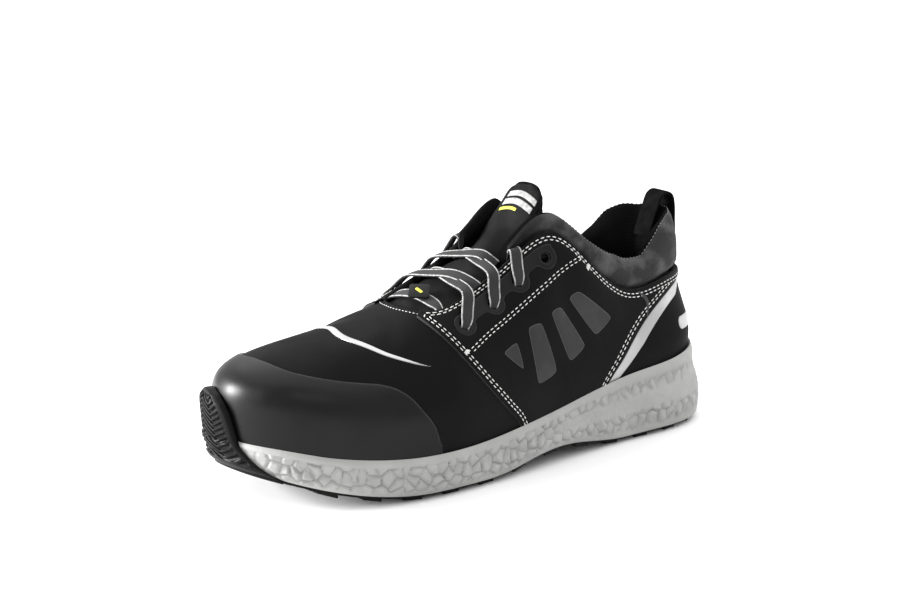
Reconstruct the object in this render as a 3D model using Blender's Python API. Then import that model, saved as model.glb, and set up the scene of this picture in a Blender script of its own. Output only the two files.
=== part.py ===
"""A low safety sneaker, left shoe, as an assembly of separate solids.

The shoe points along +X, its outer side is +Y and the floor is z = 0. Every length is in metres.
The upper is worked out from a table of stations round the foot: at each station a wall profile
climbs from the feather line, at the sole, to the rim of the opening. The sole, the overlays, the
tongue, the cuff and the laces take their places from that same surface.
"""

import math
from collections import namedtuple

import bmesh
import bpy
import numpy as np
from mathutils import Vector

# Driving dimensions of the last
LAST_LENGTH = 0.288
BALL_WIDTH = 0.096
HEEL_WIDTH = 0.067
TOE_HEIGHT = 0.049
COLLAR_HEIGHT = 0.081
INSTEP_HEIGHT = 0.1145
THROAT_WIDTH = 0.040

# Driving dimensions of the sole
HEEL_STACK = 0.0415
FOREFOOT_STACK = 0.0220
TOE_STACK = 0.034
TOE_SPRING = 0.0165
ARCH_RISE = 0.0055
HEEL_BEVEL = 0.003
SOLE_FLARE = 0.0053
CUP_DEPTH = 0.007
PLATE = 0.0012
LUG = 0.0016
TOE_GUARD_HEIGHT = 0.0595
TOE_GUARD_WIDTH = 0.030
TOE_GUARD_THICKNESS = 0.0050
TOE_GUARD_TURN = 0.5
CHEVRON_RIB = 0.0009

# Thicknesses of the soft parts
WALL = 0.002
OVERLAY = 0.0011
INSOLE_THICKNESS = 0.004
TONGUE_THICKNESS = 0.0055
TONGUE_TOP = 0.1355
TONGUE_REACH = 0.020
TONGUE_ARCH = 0.0045
CUFF_START = 0.490
CUFF_FRONT = 0.0075
CUFF_ANKLE = 0.0155
CUFF_BACK = 0.030
CUFF_PADDING = 0.0100
LOOP_WIDTH = 0.012
LOOP_THICKNESS = 0.0016
LACE_WIDTH = 0.0062
LACE_THICKNESS = 0.0020
TAG_SIZE = 0.0105
TAG_THICKNESS = 0.0012
EYELET_DIAMETER = 0.0046

# Clearances
GAP = 0.0003
SOFT_GAP = 0.0006

WALL_SHARES = (0.0, 0.10, 0.19, 0.27, 0.33, 0.39, 0.45, 0.53, 0.63, 0.76, 0.89, 1.0)
SIDE_STEPS = (0.0, 0.06, 0.26, 0.52, 0.74, 0.92, 1.0)
PROFILE_STEPS = 8

Station = namedtuple("Station", "x y rim_x rim_y rim_z wall lean inset shoulder slope")
SoleRow = namedtuple("SoleRow", "at rim ledge neck bulge foot")


def foot_stations():
    """One row per station round the foot, from the heel back along the outer side to the toe and home.

    x, y: the feather line. rim_x, rim_y, rim_z: the rim of the opening. wall and lean: how high the
    wall stands before its shoulder and how far it leans out. inset and shoulder: where the shoulder
    lies, in from the feather line and above it. slope: how steeply the surface leaves the rim, degrees.
    """
    long, ball, heel, throat = LAST_LENGTH, BALL_WIDTH, HEEL_WIDTH, THROAT_WIDTH
    toe, collar, instep = TOE_HEIGHT, COLLAR_HEIGHT, INSTEP_HEIGHT
    outlines = (
        # heel back, then the outer side
        (0.018 * long, 0.000 * heel, 0.037 * long, 0.000 * heel, 1.000 * collar),
        (0.047 * long, 0.335 * heel, 0.062 * long, 0.255 * heel, 0.994 * collar),
        (0.128 * long, 0.485 * heel, 0.138 * long, 0.415 * heel, 0.982 * collar),
        (0.236 * long, 0.515 * heel, 0.226 * long, 0.448 * heel, 0.975 * collar),
        (0.340 * long, 0.391 * ball, 0.316 * long, 0.322 * ball, 0.846 * instep),
        (0.420 * long, 0.422 * ball, 0.390 * long, 0.610 * throat, 1.000 * instep),
        (0.521 * long, 0.464 * ball, 0.470 * long, 0.510 * throat, 0.905 * instep),
        (0.635 * long, 0.495 * ball, 0.556 * long, 0.510 * throat, 0.798 * instep),
        (0.760 * long, 0.479 * ball, 0.622 * long, 0.490 * throat, 0.738 * instep),
        (0.885 * long, 0.370 * ball, 0.652 * long, 0.290 * throat, 0.735 * instep),
        (0.966 * long, 0.187 * ball, 0.660 * long, 0.110 * throat, 0.738 * instep),
        # toe tip, then the inner side
        (1.000 * long, -0.073 * ball, 0.662 * long, -0.025 * throat, 0.738 * instep),
        (0.972 * long, -0.323 * ball, 0.660 * long, -0.160 * throat, 0.738 * instep),
        (0.896 * long, -0.458 * ball, 0.652 * long, -0.340 * throat, 0.735 * instep),
        (0.771 * long, -0.510 * ball, 0.622 * long, -0.510 * throat, 0.738 * instep),
        (0.646 * long, -0.495 * ball, 0.556 * long, -0.520 * throat, 0.798 * instep),
        (0.531 * long, -0.432 * ball, 0.470 * long, -0.520 * throat, 0.905 * instep),
        (0.427 * long, -0.359 * ball, 0.390 * long, -0.610 * throat, 1.000 * instep),
        (0.340 * long, -0.328 * ball, 0.316 * long, -0.310 * ball, 0.846 * instep),
        (0.236 * long, -0.470 * heel, 0.226 * long, -0.440 * heel, 0.975 * collar),
        (0.128 * long, -0.475 * heel, 0.138 * long, -0.415 * heel, 0.982 * collar),
        (0.047 * long, -0.330 * heel, 0.062 * long, -0.255 * heel, 0.994 * collar),
    )
    walls = (
        # heel back, then the outer side
        (0.22 * collar, 0.012 * ball, 0.045 * ball, 0.42 * collar, 86),
        (0.22 * collar, 0.012 * ball, 0.045 * ball, 0.42 * collar, 85),
        (0.22 * collar, 0.018 * ball, 0.037 * ball, 0.42 * collar, 82),
        (0.22 * collar, 0.022 * ball, 0.037 * ball, 0.44 * collar, 80),
        (0.20 * instep, 0.016 * ball, 0.042 * ball, 0.40 * instep, 72),
        (0.23 * instep, 0.016 * ball, 0.062 * ball, 0.52 * instep, 60),
        (0.25 * instep, 0.021 * ball, 0.083 * ball, 0.50 * instep, 52),
        (0.60 * toe, 0.021 * ball, 0.094 * ball, 1.06 * toe, 46),
        (0.64 * toe, 0.021 * ball, 0.135 * ball, 0.98 * toe, 30),
        (0.70 * toe, 0.021 * ball, 0.187 * ball, 0.95 * toe, 22),
        (0.73 * toe, 0.021 * ball, 0.229 * ball, 0.93 * toe, 20),
        # toe tip, then the inner side
        (0.74 * toe, 0.021 * ball, 0.239 * ball, 0.93 * toe, 20),
        (0.73 * toe, 0.021 * ball, 0.229 * ball, 0.93 * toe, 20),
        (0.70 * toe, 0.021 * ball, 0.187 * ball, 0.95 * toe, 22),
        (0.64 * toe, 0.021 * ball, 0.135 * ball, 0.98 * toe, 30),
        (0.60 * toe, 0.021 * ball, 0.094 * ball, 1.06 * toe, 46),
        (0.25 * instep, 0.021 * ball, 0.083 * ball, 0.50 * instep, 54),
        (0.23 * instep, 0.016 * ball, 0.052 * ball, 0.52 * instep, 64),
        (0.20 * instep, 0.016 * ball, 0.030 * ball, 0.40 * instep, 76),
        (0.22 * collar, 0.022 * ball, 0.030 * ball, 0.44 * collar, 80),
        (0.22 * collar, 0.018 * ball, 0.037 * ball, 0.42 * collar, 82),
        (0.22 * collar, 0.012 * ball, 0.045 * ball, 0.42 * collar, 85),
    )
    return [Station(*outline, *wall) for outline, wall in zip(outlines, walls)]


def sole_rows():
    """Rim height and side steps of the midsole along the shoe, as shares of the named sizes."""
    flare = SOLE_FLARE
    table = (
        # at, rim, ledge, neck, bulge, foot
        (-0.05, 1.010 * HEEL_STACK, 0.50 * flare, 0.60 * flare, 1.40 * flare, 1.20 * flare),
        (0.00, 1.000 * HEEL_STACK, 0.50 * flare, 0.60 * flare, 1.35 * flare, 1.15 * flare),
        (0.12, 0.905 * HEEL_STACK, 0.50 * flare, 0.50 * flare, 1.15 * flare, 0.95 * flare),
        (0.24, 0.840 * HEEL_STACK, 0.50 * flare, 0.50 * flare, 1.00 * flare, 0.75 * flare),
        (0.34, 0.750 * HEEL_STACK, 0.50 * flare, 0.60 * flare, 0.95 * flare, 0.70 * flare),
        (0.42, 0.670 * HEEL_STACK, 0.50 * flare, 0.65 * flare, 0.90 * flare, 0.65 * flare),
        (0.52, 1.120 * FOREFOOT_STACK, 0.50 * flare, 0.70 * flare, 0.90 * flare, 0.60 * flare),
        (0.64, 1.000 * FOREFOOT_STACK, 0.50 * flare, 0.75 * flare, 0.90 * flare, 0.55 * flare),
        (0.77, 1.020 * FOREFOOT_STACK, 0.50 * flare, 0.70 * flare, 0.85 * flare, 0.50 * flare),
        (0.89, 0.790 * TOE_STACK, 0.48 * flare, 0.60 * flare, 0.65 * flare, 0.30 * flare),
        (0.97, 0.940 * TOE_STACK, 0.45 * flare, 0.50 * flare, 0.45 * flare, -0.15 * flare),
        (1.05, 1.020 * TOE_STACK, 0.45 * flare, 0.45 * flare, 0.20 * flare, -0.60 * flare),
    )
    return [SoleRow(*row) for row in table]


def spline_control(values):
    """Control rows of the closed cubic B-spline that passes through the given rows."""
    count = len(values)
    near = np.eye(count)
    mix = (4 * near + np.roll(near, 1, axis=1) + np.roll(near, -1, axis=1)) / 6
    return np.linalg.solve(mix, values)


def spline_at(control, where):
    """Points of a uniform cubic B-spline over a control array whose first axis is the knot."""
    count = len(control)
    where = np.asarray(where, float)
    knot = np.floor(where).astype(int)
    f = (where - knot).reshape(where.shape + (1,) * (control.ndim - 1))
    basis = (
        (1 - f) ** 3 / 6,
        (3 * f**3 - 6 * f**2 + 4) / 6,
        (-3 * f**3 + 3 * f**2 + 3 * f + 1) / 6,
        f**3 / 6,
    )
    return sum(b * control[(knot + k - 1) % count] for k, b in enumerate(basis))


def smooth_steps(x, xs, values):
    """A smooth curve through rows of values at the places xs, read at x."""
    xs, values = np.asarray(xs, float), np.asarray(values, float)
    slopes = np.gradient(values, xs, axis=0)
    x = np.clip(x, xs[0], xs[-1])
    i = np.clip(np.searchsorted(xs, x) - 1, 0, len(xs) - 2)
    span = xs[i + 1] - xs[i]
    f = (x - xs[i]) / span
    a, b = 2 * f**3 - 3 * f**2 + 1, f**3 - 2 * f**2 + f
    c, d = -2 * f**3 + 3 * f**2, f**3 - f**2
    return a * values[i] + b * span * slopes[i] + c * values[i + 1] + d * span * slopes[i + 1]


class Last:
    """The outer surface of the upper over the last, and the outline that the sole follows."""

    turn = -1

    def __init__(self):
        self.stations = foot_stations()
        self.count = len(self.stations)
        self.control = spline_control(np.array(self.stations, float))
        rows = sole_rows()
        self.sole_at = [row.at * LAST_LENGTH for row in rows]
        self.sole = {name: [getattr(row, name) for row in rows] for name in SoleRow._fields[1:]}
        self.lines = {}

    def sole_value(self, name, x):
        """The midsole's rim, ledge, neck, bulge or foot at a place along the shoe."""
        return smooth_steps(x, self.sole_at, self.sole[name])

    def side(self, x, share):
        """How far the midsole's side stands out, from its rim at share 0 to its foot at 1."""
        ledge, neck, bulge, foot = (float(self.sole_value(name, x)) for name in SoleRow._fields[2:])
        steps = (0.7 * ledge, ledge, neck, 0.80 * bulge, bulge, 0.5 * (bulge + foot), foot)
        return float(np.interp(share, SIDE_STEPS, steps))

    def bottom(self, x):
        """Height of the midsole's underside: flat at heel and ball, raised at arch, toe and heel edge."""
        at = np.asarray(x, float) / LAST_LENGTH
        arch = np.clip((at - 0.24) / 0.36, 0, 1)
        toe = np.clip((at - 0.72) / 0.28, 0, 1.2)
        heel = np.clip((0.09 - at) / 0.10, 0, 1.2)
        lift = ARCH_RISE * np.sin(math.pi * arch) ** 2 + TOE_SPRING * toe**1.9 + HEEL_BEVEL * heel**2
        return PLATE + LUG + GAP + lift

    def floor(self, x):
        """Height of the recessed foot bed under the upper."""
        return self.sole_value("rim", x) - CUP_DEPTH

    def row(self, u):
        """The station columns at a place u round the foot."""
        return Station(*spline_at(self.control, u))

    def outward(self, u):
        """The level direction square to the feather line, away from the foot."""
        before, after = spline_at(self.control, u - 0.02), spline_at(self.control, u + 0.02)
        along = Vector((after[0] - before[0], after[1] - before[1], 0)).normalized()
        return Vector((-along.y, along.x, 0))

    def line(self, u):
        """The wall's points and the length along them, kept for each place that is asked for."""
        key = round(u % self.count, 5)
        if key not in self.lines:
            points = self.profile(key)
            steps = np.linalg.norm(np.diff(points, axis=0), axis=1)
            self.lines[key] = points, np.concatenate([[0], np.cumsum(steps)])
        return self.lines[key]

    def profile(self, u):
        """Points of the wall from the feather line up to the rim."""
        row, out = self.row(u), self.outward(u)
        foot = Vector((row.x, row.y, float(self.floor(row.x)) + GAP))
        rim = Vector((row.rim_x, row.rim_y, row.rim_z))
        reach = Vector((foot.x - rim.x, foot.y - rim.y, 0)) + out * 0.012
        reach.normalize()
        up = Vector((0, 0, 1))
        slope = math.radians(row.slope)
        mid = foot + up * row.wall * 0.5 + out * row.lean * 0.5
        top = foot + up * row.wall + out * row.lean
        shoulder = foot + up * row.shoulder - reach * row.inset
        near = rim + (reach * math.cos(slope) - up * math.sin(slope)) * (shoulder - rim).length * 0.4
        frame = [foot] * 3 + [mid, top, shoulder, near] + [rim] * 3
        frame = np.array([point[:] for point in frame])
        last_knot = len(frame) - 2
        return spline_at(frame, np.linspace(1, last_knot, (last_knot - 1) * PROFILE_STEPS + 1))

    def point(self, u, s):
        """The point at share s of the wall's length, from the feather line to the rim."""
        line, length = self.line(u)
        return Vector([float(np.interp(s * length[-1], length, line[:, k])) for k in range(3)])

    def wall_length(self, u):
        """Length of the wall from the feather line to the rim."""
        return float(self.line(u)[1][-1])

    def normal(self, u, s):
        """The direction square to the surface, away from the foot."""
        ds = 0.02
        low, high = max(0.0, s - ds), min(1.0, s + ds)
        across = self.point(u + 0.06, s) - self.point(u - 0.06, s)
        return across.cross(self.point(u, high) - self.point(u, low)).normalized() * self.turn

    def offset(self, u, s, distance):
        """A point at a distance outside the surface."""
        return self.point(u, s) + self.normal(u, s) * distance

    def share_at_height(self, u, z):
        """How far up the wall, as a share of its length, it reaches a height."""
        line, length = self.line(u)
        return float(np.interp(z, line[:, 2], length) / length[-1])

    def seat_share(self, u):
        """The share at which the wall leaves the midsole's cup."""
        return self.share_at_height(u, float(self.sole_value("rim", self.row(u).x)) + 2 * GAP)


def around(last, side=2, toe=3):
    """Places round the foot, closer together round the toe than along the sides."""
    places = []
    for station in range(last.count):
        steps = toe if 7 <= station < last.count - 7 else side
        places += [station + k / steps for k in range(steps)]
    return places


def wall_shares(last, u):
    """The rows of the wall above the cup at one column."""
    seat = last.seat_share(u)
    return [seat + (1 - seat) * share for share in WALL_SHARES]


def material(name, colour, roughness, metallic=0.0):
    """A plain Principled material in the part's colour."""
    made = bpy.data.materials.new(name)
    made.use_nodes = True
    shader = made.node_tree.nodes["Principled BSDF"]
    shader.inputs["Base Color"].default_value = (*colour, 1)
    shader.inputs["Roughness"].default_value = roughness
    shader.inputs["Metallic"].default_value = metallic
    made.diffuse_color = (*colour, 1)
    return made


def add_object(name, bm, finish):
    """A named object from a bmesh, with its faces pointing out and shaded smooth."""
    bmesh.ops.recalc_face_normals(bm, faces=bm.faces)
    if bm.calc_volume(signed=True) < 0:
        bmesh.ops.reverse_faces(bm, faces=bm.faces)
    mesh = bpy.data.meshes.new(name)
    bm.to_mesh(mesh)
    bm.free()
    mesh.shade_smooth()
    mesh.set_sharp_from_angle(angle=math.radians(40))
    made = bpy.data.objects.new(name, mesh)
    bpy.context.scene.collection.objects.link(made)
    if finish is not None:
        mesh.materials.append(finish)
    return made


def loft(name, rings, finish, joined=False, ladder=False, fine=False):
    """A solid through closed rings of points.

    Joined rings run on to the first one. Otherwise both ends are capped, and a ladder cap is laid in
    strips across the shoe, which keeps a curved bed true. A fine loft is split on its short diagonals,
    so that two skins on the same columns stay the same distance apart.
    """
    bm = bmesh.new()
    loops = [[bm.verts.new(point) for point in ring] for ring in rings]
    pairs = list(zip(loops, loops[1:]))
    if joined:
        pairs.append((loops[-1], loops[0]))
    for low, high in pairs:
        for k, vertex in enumerate(low):
            n = (k + 1) % len(low)
            bm.faces.new((vertex, low[n], high[n], high[k]))
    if ladder:
        for loop in (loops[0], loops[-1]):
            for k in range(len(loop) // 2):
                corners = (loop[k], loop[k + 1], loop[-k - 1], loop[-k])
                bm.faces.new(list(dict.fromkeys(corners)))
    elif not joined:
        bm.faces.new(loops[0])
        bm.faces.new(loops[-1])
    if fine:
        bmesh.ops.triangulate(bm, faces=bm.faces, quad_method="SHORT_EDGE")
    bmesh.ops.triangulate(bm, faces=[f for f in bm.faces if len(f.verts) > 4])
    return add_object(name, bm, finish)


def prism(name, outline, low, high):
    """A hidden cutter: an outline in x and z, pushed across the shoe between two levels."""
    bm = bmesh.new()
    face = bm.faces.new([bm.verts.new((x, low, z)) for x, z in outline])
    pushed = bmesh.ops.extrude_face_region(bm, geom=[face])["geom"]
    verts = [part for part in pushed if isinstance(part, bmesh.types.BMVert)]
    bmesh.ops.translate(bm, vec=(0, high - low, 0), verts=verts)
    made = add_object(name, bm, None)
    made.hide_render = True
    made.display_type = "WIRE"
    return made


def cut(obj, cutter, operation):
    """A Boolean of obj with a cutter, kept as a live modifier."""
    step = obj.modifiers.new(cutter.name, "BOOLEAN")
    step.operation = operation
    step.object = cutter


def build_upper(last, finish):
    """The hollow upper: one wall from the feather line to the rim, open above and below."""
    outer, inner = [], []
    columns = around(last)
    shares = [[0.0, *wall_shares(last, u)] for u in columns]
    for k in range(len(WALL_SHARES) + 1):
        outer.append([last.point(u, rows[k]) for u, rows in zip(columns, shares)])
        inner.append([last.offset(u, rows[k], -WALL) for u, rows in zip(columns, shares)])
    for low, high in zip(outer[0], inner[0]):
        high.z = low.z
    return loft("upper", outer + inner[::-1], finish, joined=True, fine=True)


def overlay_shell(last, name, finish):
    """A thin skin just outside the whole upper, from which an overlay is cut."""
    columns = around(last)
    shares = [wall_shares(last, u) for u in columns]
    inner, outer = [], []
    for k in range(len(WALL_SHARES)):
        inner.append([last.offset(u, rows[k], GAP) for u, rows in zip(columns, shares)])
        outer.append([last.offset(u, rows[k], GAP + OVERLAY) for u, rows in zip(columns, shares)])
    return loft(name, outer + inner[::-1], finish, joined=True, fine=True)


def toe_cap_outline():
    """The rear edge of the toe cap from the side, as shares of the last's length and the instep height."""
    edge = (
        (0.700, 0.04), (0.701, 0.120), (0.700, 0.202), (0.705, 0.255), (0.711, 0.301), (0.724, 0.352),
        (0.739, 0.401), (0.750, 0.442), (0.763, 0.475), (0.780, 0.502), (0.802, 0.520), (0.830, 0.532),
        (0.858, 0.544), (0.900, 0.567), (0.929, 0.588), (0.940, 0.615), (0.946, 0.660), (0.946, 0.90),
    )
    line = [(x * LAST_LENGTH, z * INSTEP_HEIGHT) for x, z in edge]
    front = 1.2 * LAST_LENGTH
    return line + [(front, line[-1][1]), (front, line[0][1])]


def quarter_outline():
    """The side panel from the side: its front edge, its rear edge over the counter, and past the rim."""
    long, high = LAST_LENGTH, INSTEP_HEIGHT
    front = (
        (0.655, 0.80), (0.664, 0.715), (0.640, 0.60), (0.617, 0.51),
        (0.590, 0.42), (0.556, 0.325), (0.518, 0.224), (0.50, 0.08),
    )
    rear = (
        (0.302, 0.08), (0.296, 0.25), (0.244, 0.405), (0.184, 0.535),
        (0.124, 0.625), (0.065, 0.665), (0.000, 0.680), (-0.06, 0.685),
    )
    above = ((-0.06, 1.3), (0.655, 1.3))
    return [(x * long, z * high) for x, z in front + rear + above]


def build_toe_cap(last, finish):
    """The toe cap overlay."""
    cap = overlay_shell(last, "toe_cap", finish)
    cut(cap, prism("cap_cutter", toe_cap_outline(), -BALL_WIDTH, BALL_WIDTH), "INTERSECT")
    return cap


def eyelet_places(last):
    """Where the eyelets sit on the outer and the inner eyestay, front to back: place and share."""
    table = ((7.20, 0.0180), (6.50, 0.0160), (5.90, 0.0145), (5.22, 0.0125))
    places = {"outer": [], "inner": []}
    for u, inset in table:
        for side, place in (("outer", u), ("inner", last.count - u)):
            places[side].append((place, 1 - inset / last.wall_length(place)))
    return places


def eyelet_pins(last, side):
    """Hidden pins that punch one side's eyelet holes."""
    pins = []
    for k, (u, s) in enumerate(eyelet_places(last)[side]):
        bm = bmesh.new()
        radius = EYELET_DIAMETER / 2
        bmesh.ops.create_cone(bm, cap_ends=True, segments=12, radius1=radius, radius2=radius, depth=0.016)
        turn = last.normal(u, s).to_track_quat("Z", "Y").to_matrix().to_4x4()
        turn.translation = last.point(u, s)
        bmesh.ops.transform(bm, matrix=turn, verts=bm.verts)
        pin = add_object(f"pin_{side}_{k + 1}", bm, None)
        pin.hide_render = True
        pin.display_type = "WIRE"
        pins.append(pin)
    return pins


def build_quarters(last, upper, finish):
    """The two side panels with their eyestays, punched with the upper by the eyelet holes."""
    reach = BALL_WIDTH
    for side, low, high in (("outer", GAP / 2, reach), ("inner", -reach, -GAP / 2)):
        panel = overlay_shell(last, f"quarter_{side}", finish)
        cut(panel, prism(f"quarter_cutter_{side}", quarter_outline(), low, high), "INTERSECT")
        for pin in eyelet_pins(last, side):
            cut(panel, pin, "DIFFERENCE")
            cut(upper, pin, "DIFFERENCE")


def sole_ring(last, share, columns):
    """A ring of the midsole's side, from its rim at share 0 to its underside at 1."""
    ring = []
    for u in columns:
        row, out = last.row(u), last.outward(u)
        rim = float(last.sole_value("rim", row.x))
        low = float(last.bottom(row.x + out.x * last.side(row.x, 1.0)))
        ring.append(Vector((row.x, row.y, rim + (low - rim) * share)) + out * last.side(row.x, share))
    return ring


def build_midsole(last, finish):
    """The foam midsole: a recessed foot bed, a rim round the upper and a flared side."""
    columns = around(last)
    bed, lip = [], []
    for u in columns:
        foot, seat = last.point(u, 0), last.point(u, last.seat_share(u))
        out = last.outward(u)
        bed.append(Vector((foot.x, foot.y, foot.z - GAP)) + out * GAP * 1.5)
        lip.append(Vector((seat.x, seat.y, seat.z - 2 * GAP - 0.0004)) + out * GAP * 1.5)
    sides = [sole_ring(last, share, columns) for share in SIDE_STEPS]
    return loft("midsole", [bed, lip, *sides], finish, ladder=True)


def build_insole(last, finish):
    """The insole inside the upper's wall, on the foot bed."""
    low, high = [], []
    for u in around(last, 2, 2):
        row, out = last.row(u), last.outward(u)
        inset = WALL + 2 * SOFT_GAP
        base = Vector((row.x, row.y, float(last.floor(row.x)) + GAP)) - out * inset
        base.z = float(last.floor(base.x)) + 1.5 * GAP
        low.append(base)
        high.append(base + Vector((0, 0, INSOLE_THICKNESS)))
    return loft("insole", [low, high], finish, ladder=True)


def build_outsole(last, finish):
    """The rubber plate under the midsole with its lugs, in one with the toe guard."""
    outline = sole_ring(last, 1.0, around(last))
    inset = [p - last.outward(u) * 0.0022 for u, p in zip(around(last), outline)]
    half = len(inset) // 2
    outer = sorted(inset[: half + 1], key=lambda p: p.x)
    inner = sorted(inset[half:] + inset[:1], key=lambda p: p.x)
    low_x, high_x = max(outer[0].x, inner[0].x) + 0.001, min(outer[-1].x, inner[-1].x) - 0.001
    rows, lanes = 27, 4
    bm = bmesh.new()
    grid = {}
    for level, drop in (("top", GAP), ("under", GAP + PLATE)):
        for i in range(rows):
            turn = i / (rows - 1)
            ease = 0.85 * turn + 0.15 * (1 - math.cos(math.pi * turn)) / 2
            x = low_x + (high_x - low_x) * ease
            y_out = float(np.interp(x, [p.x for p in outer], [p.y for p in outer]))
            y_in = float(np.interp(x, [p.x for p in inner], [p.y for p in inner]))
            for j in range(lanes + 1):
                y = y_in + (y_out - y_in) * j / lanes
                grid[level, i, j] = bm.verts.new((x, y, float(last.bottom(x)) - drop))
    treads = []
    for i in range(rows - 1):
        for j in range(lanes):
            corners = ((i, j), (i + 1, j), (i + 1, j + 1), (i, j + 1))
            bm.faces.new([grid["top", *c] for c in corners])
            face = bm.faces.new([grid["under", *c] for c in corners[::-1]])
            if (i + j) % 2 == 0 and 0 < i < rows - 2:
                treads.append(face)
    border = [(i, 0) for i in range(rows)] + [(rows - 1, j) for j in range(1, lanes + 1)]
    border += [(i, lanes) for i in range(rows - 2, -1, -1)] + [(0, j) for j in range(lanes - 1, 0, -1)]
    for k, here in enumerate(border):
        after = border[(k + 1) % len(border)]
        bm.faces.new((grid["top", *here], grid["top", *after], grid["under", *after], grid["under", *here]))
    bmesh.ops.recalc_face_normals(bm, faces=bm.faces)
    bmesh.ops.inset_individual(bm, faces=treads, thickness=0.0009, use_even_offset=True)
    lugs = bmesh.ops.extrude_discrete_faces(bm, faces=treads)["faces"]
    for face in lugs:
        for vert in face.verts:
            vert.co.z -= LUG
    sole = add_object("outsole", bm, finish)
    cut(sole, build_toe_guard(last), "UNION")
    return sole


def guard_half_width(share):
    """Half width of the toe guard, in stations, at a share of its height."""
    half = TOE_GUARD_WIDTH / 2 / (0.26 * BALL_WIDTH)
    return half * float(np.interp(share, (0, 0.2, 0.4, 0.7, 0.9, 1.0), (2.6, 1.65, 1.15, 0.92, 0.70, 0.45)))


def guard_depth(across, share):
    """How far the guard's face stands off its seat: fullest in the middle, thinner at its edges."""
    rise = float(np.interp(share, (0, 0.2, 0.45, 0.85, 1.0), (0.30, 0.55, 0.90, 1.0, 0.70)))
    return TOE_GUARD_THICKNESS * rise * (1 - 0.5 * abs(across) ** 4)


def guard_point(last, across, share, out):
    """A point of the toe guard: across from -1 to 1, share of its height, and distance off its seat."""
    u = last.count / 2 + TOE_GUARD_TURN + across * guard_half_width(share)
    row, away = last.row(u), last.outward(u)
    rim = float(last.sole_value("rim", row.x))
    base = float(last.bottom(row.x + away.x * last.side(row.x, 1.0)))
    z = base - GAP + (TOE_GUARD_HEIGHT - base + GAP) * share
    seat = last.side(row.x, min(1.0, max(0.0, (rim - z) / (rim - base)))) + GAP
    if z > rim:
        wall = last.point(u, last.share_at_height(u, z))
        wall_out = Vector((wall.x - row.x, wall.y - row.y, 0)).dot(away) + 2 * GAP + OVERLAY
        fade = min(1.0, (z - rim) / 0.004)
        seat = max(seat * (1 - fade) + wall_out * fade, wall_out)
    return Vector((row.x, row.y, z)) + away * (seat + GAP + out)


def guard_base(last, across, depth):
    """A ring of the guard's foot, at a depth under the midsole, that reaches in over the plate."""
    ring = []
    for a, reach in [(a, 0.0) for a in across] + [(a, -0.006) for a in reversed(across)]:
        u = last.count / 2 + TOE_GUARD_TURN + a * guard_half_width(0)
        row, away = last.row(u), last.outward(u)
        foot = last.side(row.x, 1.0)
        side = foot + reach if reach else foot + 2 * GAP + guard_depth(a, 0)
        point = Vector((row.x, row.y, 0)) + away * side
        edge = row.x + away.x * foot
        point.z = float(last.bottom(min(point.x, edge))) - GAP - depth
        ring.append(point)
    return ring


def build_toe_guard(last):
    """The guard that the outsole wraps up over the toe, with its chevron ribs, as a joined cutter."""
    across = [k / 6 - 1 for k in range(13)]
    rings = [guard_base(last, across, 0.85 * PLATE), guard_base(last, across, 0.1 * PLATE)]
    for share in [k / 12 for k in range(13)]:
        outer = [guard_point(last, a, share, guard_depth(a, share)) for a in across]
        inner = [guard_point(last, a, share, 0.0) for a in reversed(across)]
        rings.append(outer + inner)
    guard = loft("toe_guard", rings, None)
    guard.hide_render = True
    guard.display_type = "WIRE"
    for number in range(6):
        cut(guard, build_chevron(last, number), "UNION")
    return guard


def build_chevron(last, number):
    """One zigzag rib across the toe guard."""
    rings = []
    for k in range(9):
        a = (k / 8 * 2 - 1) * 0.80
        share = 0.36 + 0.09 * number + 0.14 * (abs(k % 4 - 2) / 2 - 0.5)
        half = 0.016
        low = guard_depth(a, share) - 0.0012
        high = guard_depth(a, share) + CHEVRON_RIB
        rings.append(
            [
                guard_point(last, a, share - half, low),
                guard_point(last, a, share + half, low),
                guard_point(last, a, share + half * 0.6, high),
                guard_point(last, a, share - half * 0.6, high),
            ]
        )
    rib = loft(f"chevron_{number + 1}", rings, None)
    rib.hide_render = True
    rib.display_type = "WIRE"
    return rib


def rim_place(last, x, side):
    """The place u on the outer or inner side where the rim passes a given x."""
    if side == "outer":
        places = np.linspace(4.2, 9.0, 97)
    else:
        places = np.linspace(last.count - 4.2, last.count - 9.0, 97)
    rim_x = [last.row(u).rim_x for u in places]
    return float(np.interp(x, rim_x, places))


def tongue_legs(last, x):
    """The tongue's two sides at one x of the throat, lowest points first.

    In front they lie under the eyestays. Further back they stand inside the cuff's padding.
    """
    legs = []
    for side in ("outer", "inner"):
        u = rim_place(last, x, side)
        length = last.wall_length(u)
        if x > CUFF_START * LAST_LENGTH:
            shares = [1 - depth / length for depth in (0.017, 0.010, 0.003)]
            legs.append([last.offset(u, share, -WALL - SOFT_GAP) for share in shares])
        else:
            clear = 1.08 * cuff_padding(last, u) + WALL + 2 * SOFT_GAP
            inside = last.point(u, 1.0) - last.outward(u) * clear
            legs.append([inside + Vector((0, 0, level)) for level in (-0.0145, -0.009, -0.0035)])
    return legs


def tongue_over(last, x, across, above=0.0):
    """A point above the tongue's arch, from the outer rim at 0 to the inner rim at 1."""
    outer, inner = tongue_legs(last, x)
    point = outer[-1].lerp(inner[-1], across)
    point.z += TONGUE_ARCH * math.sin(math.pi * across) + 0.0008 + above
    return point


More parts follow.
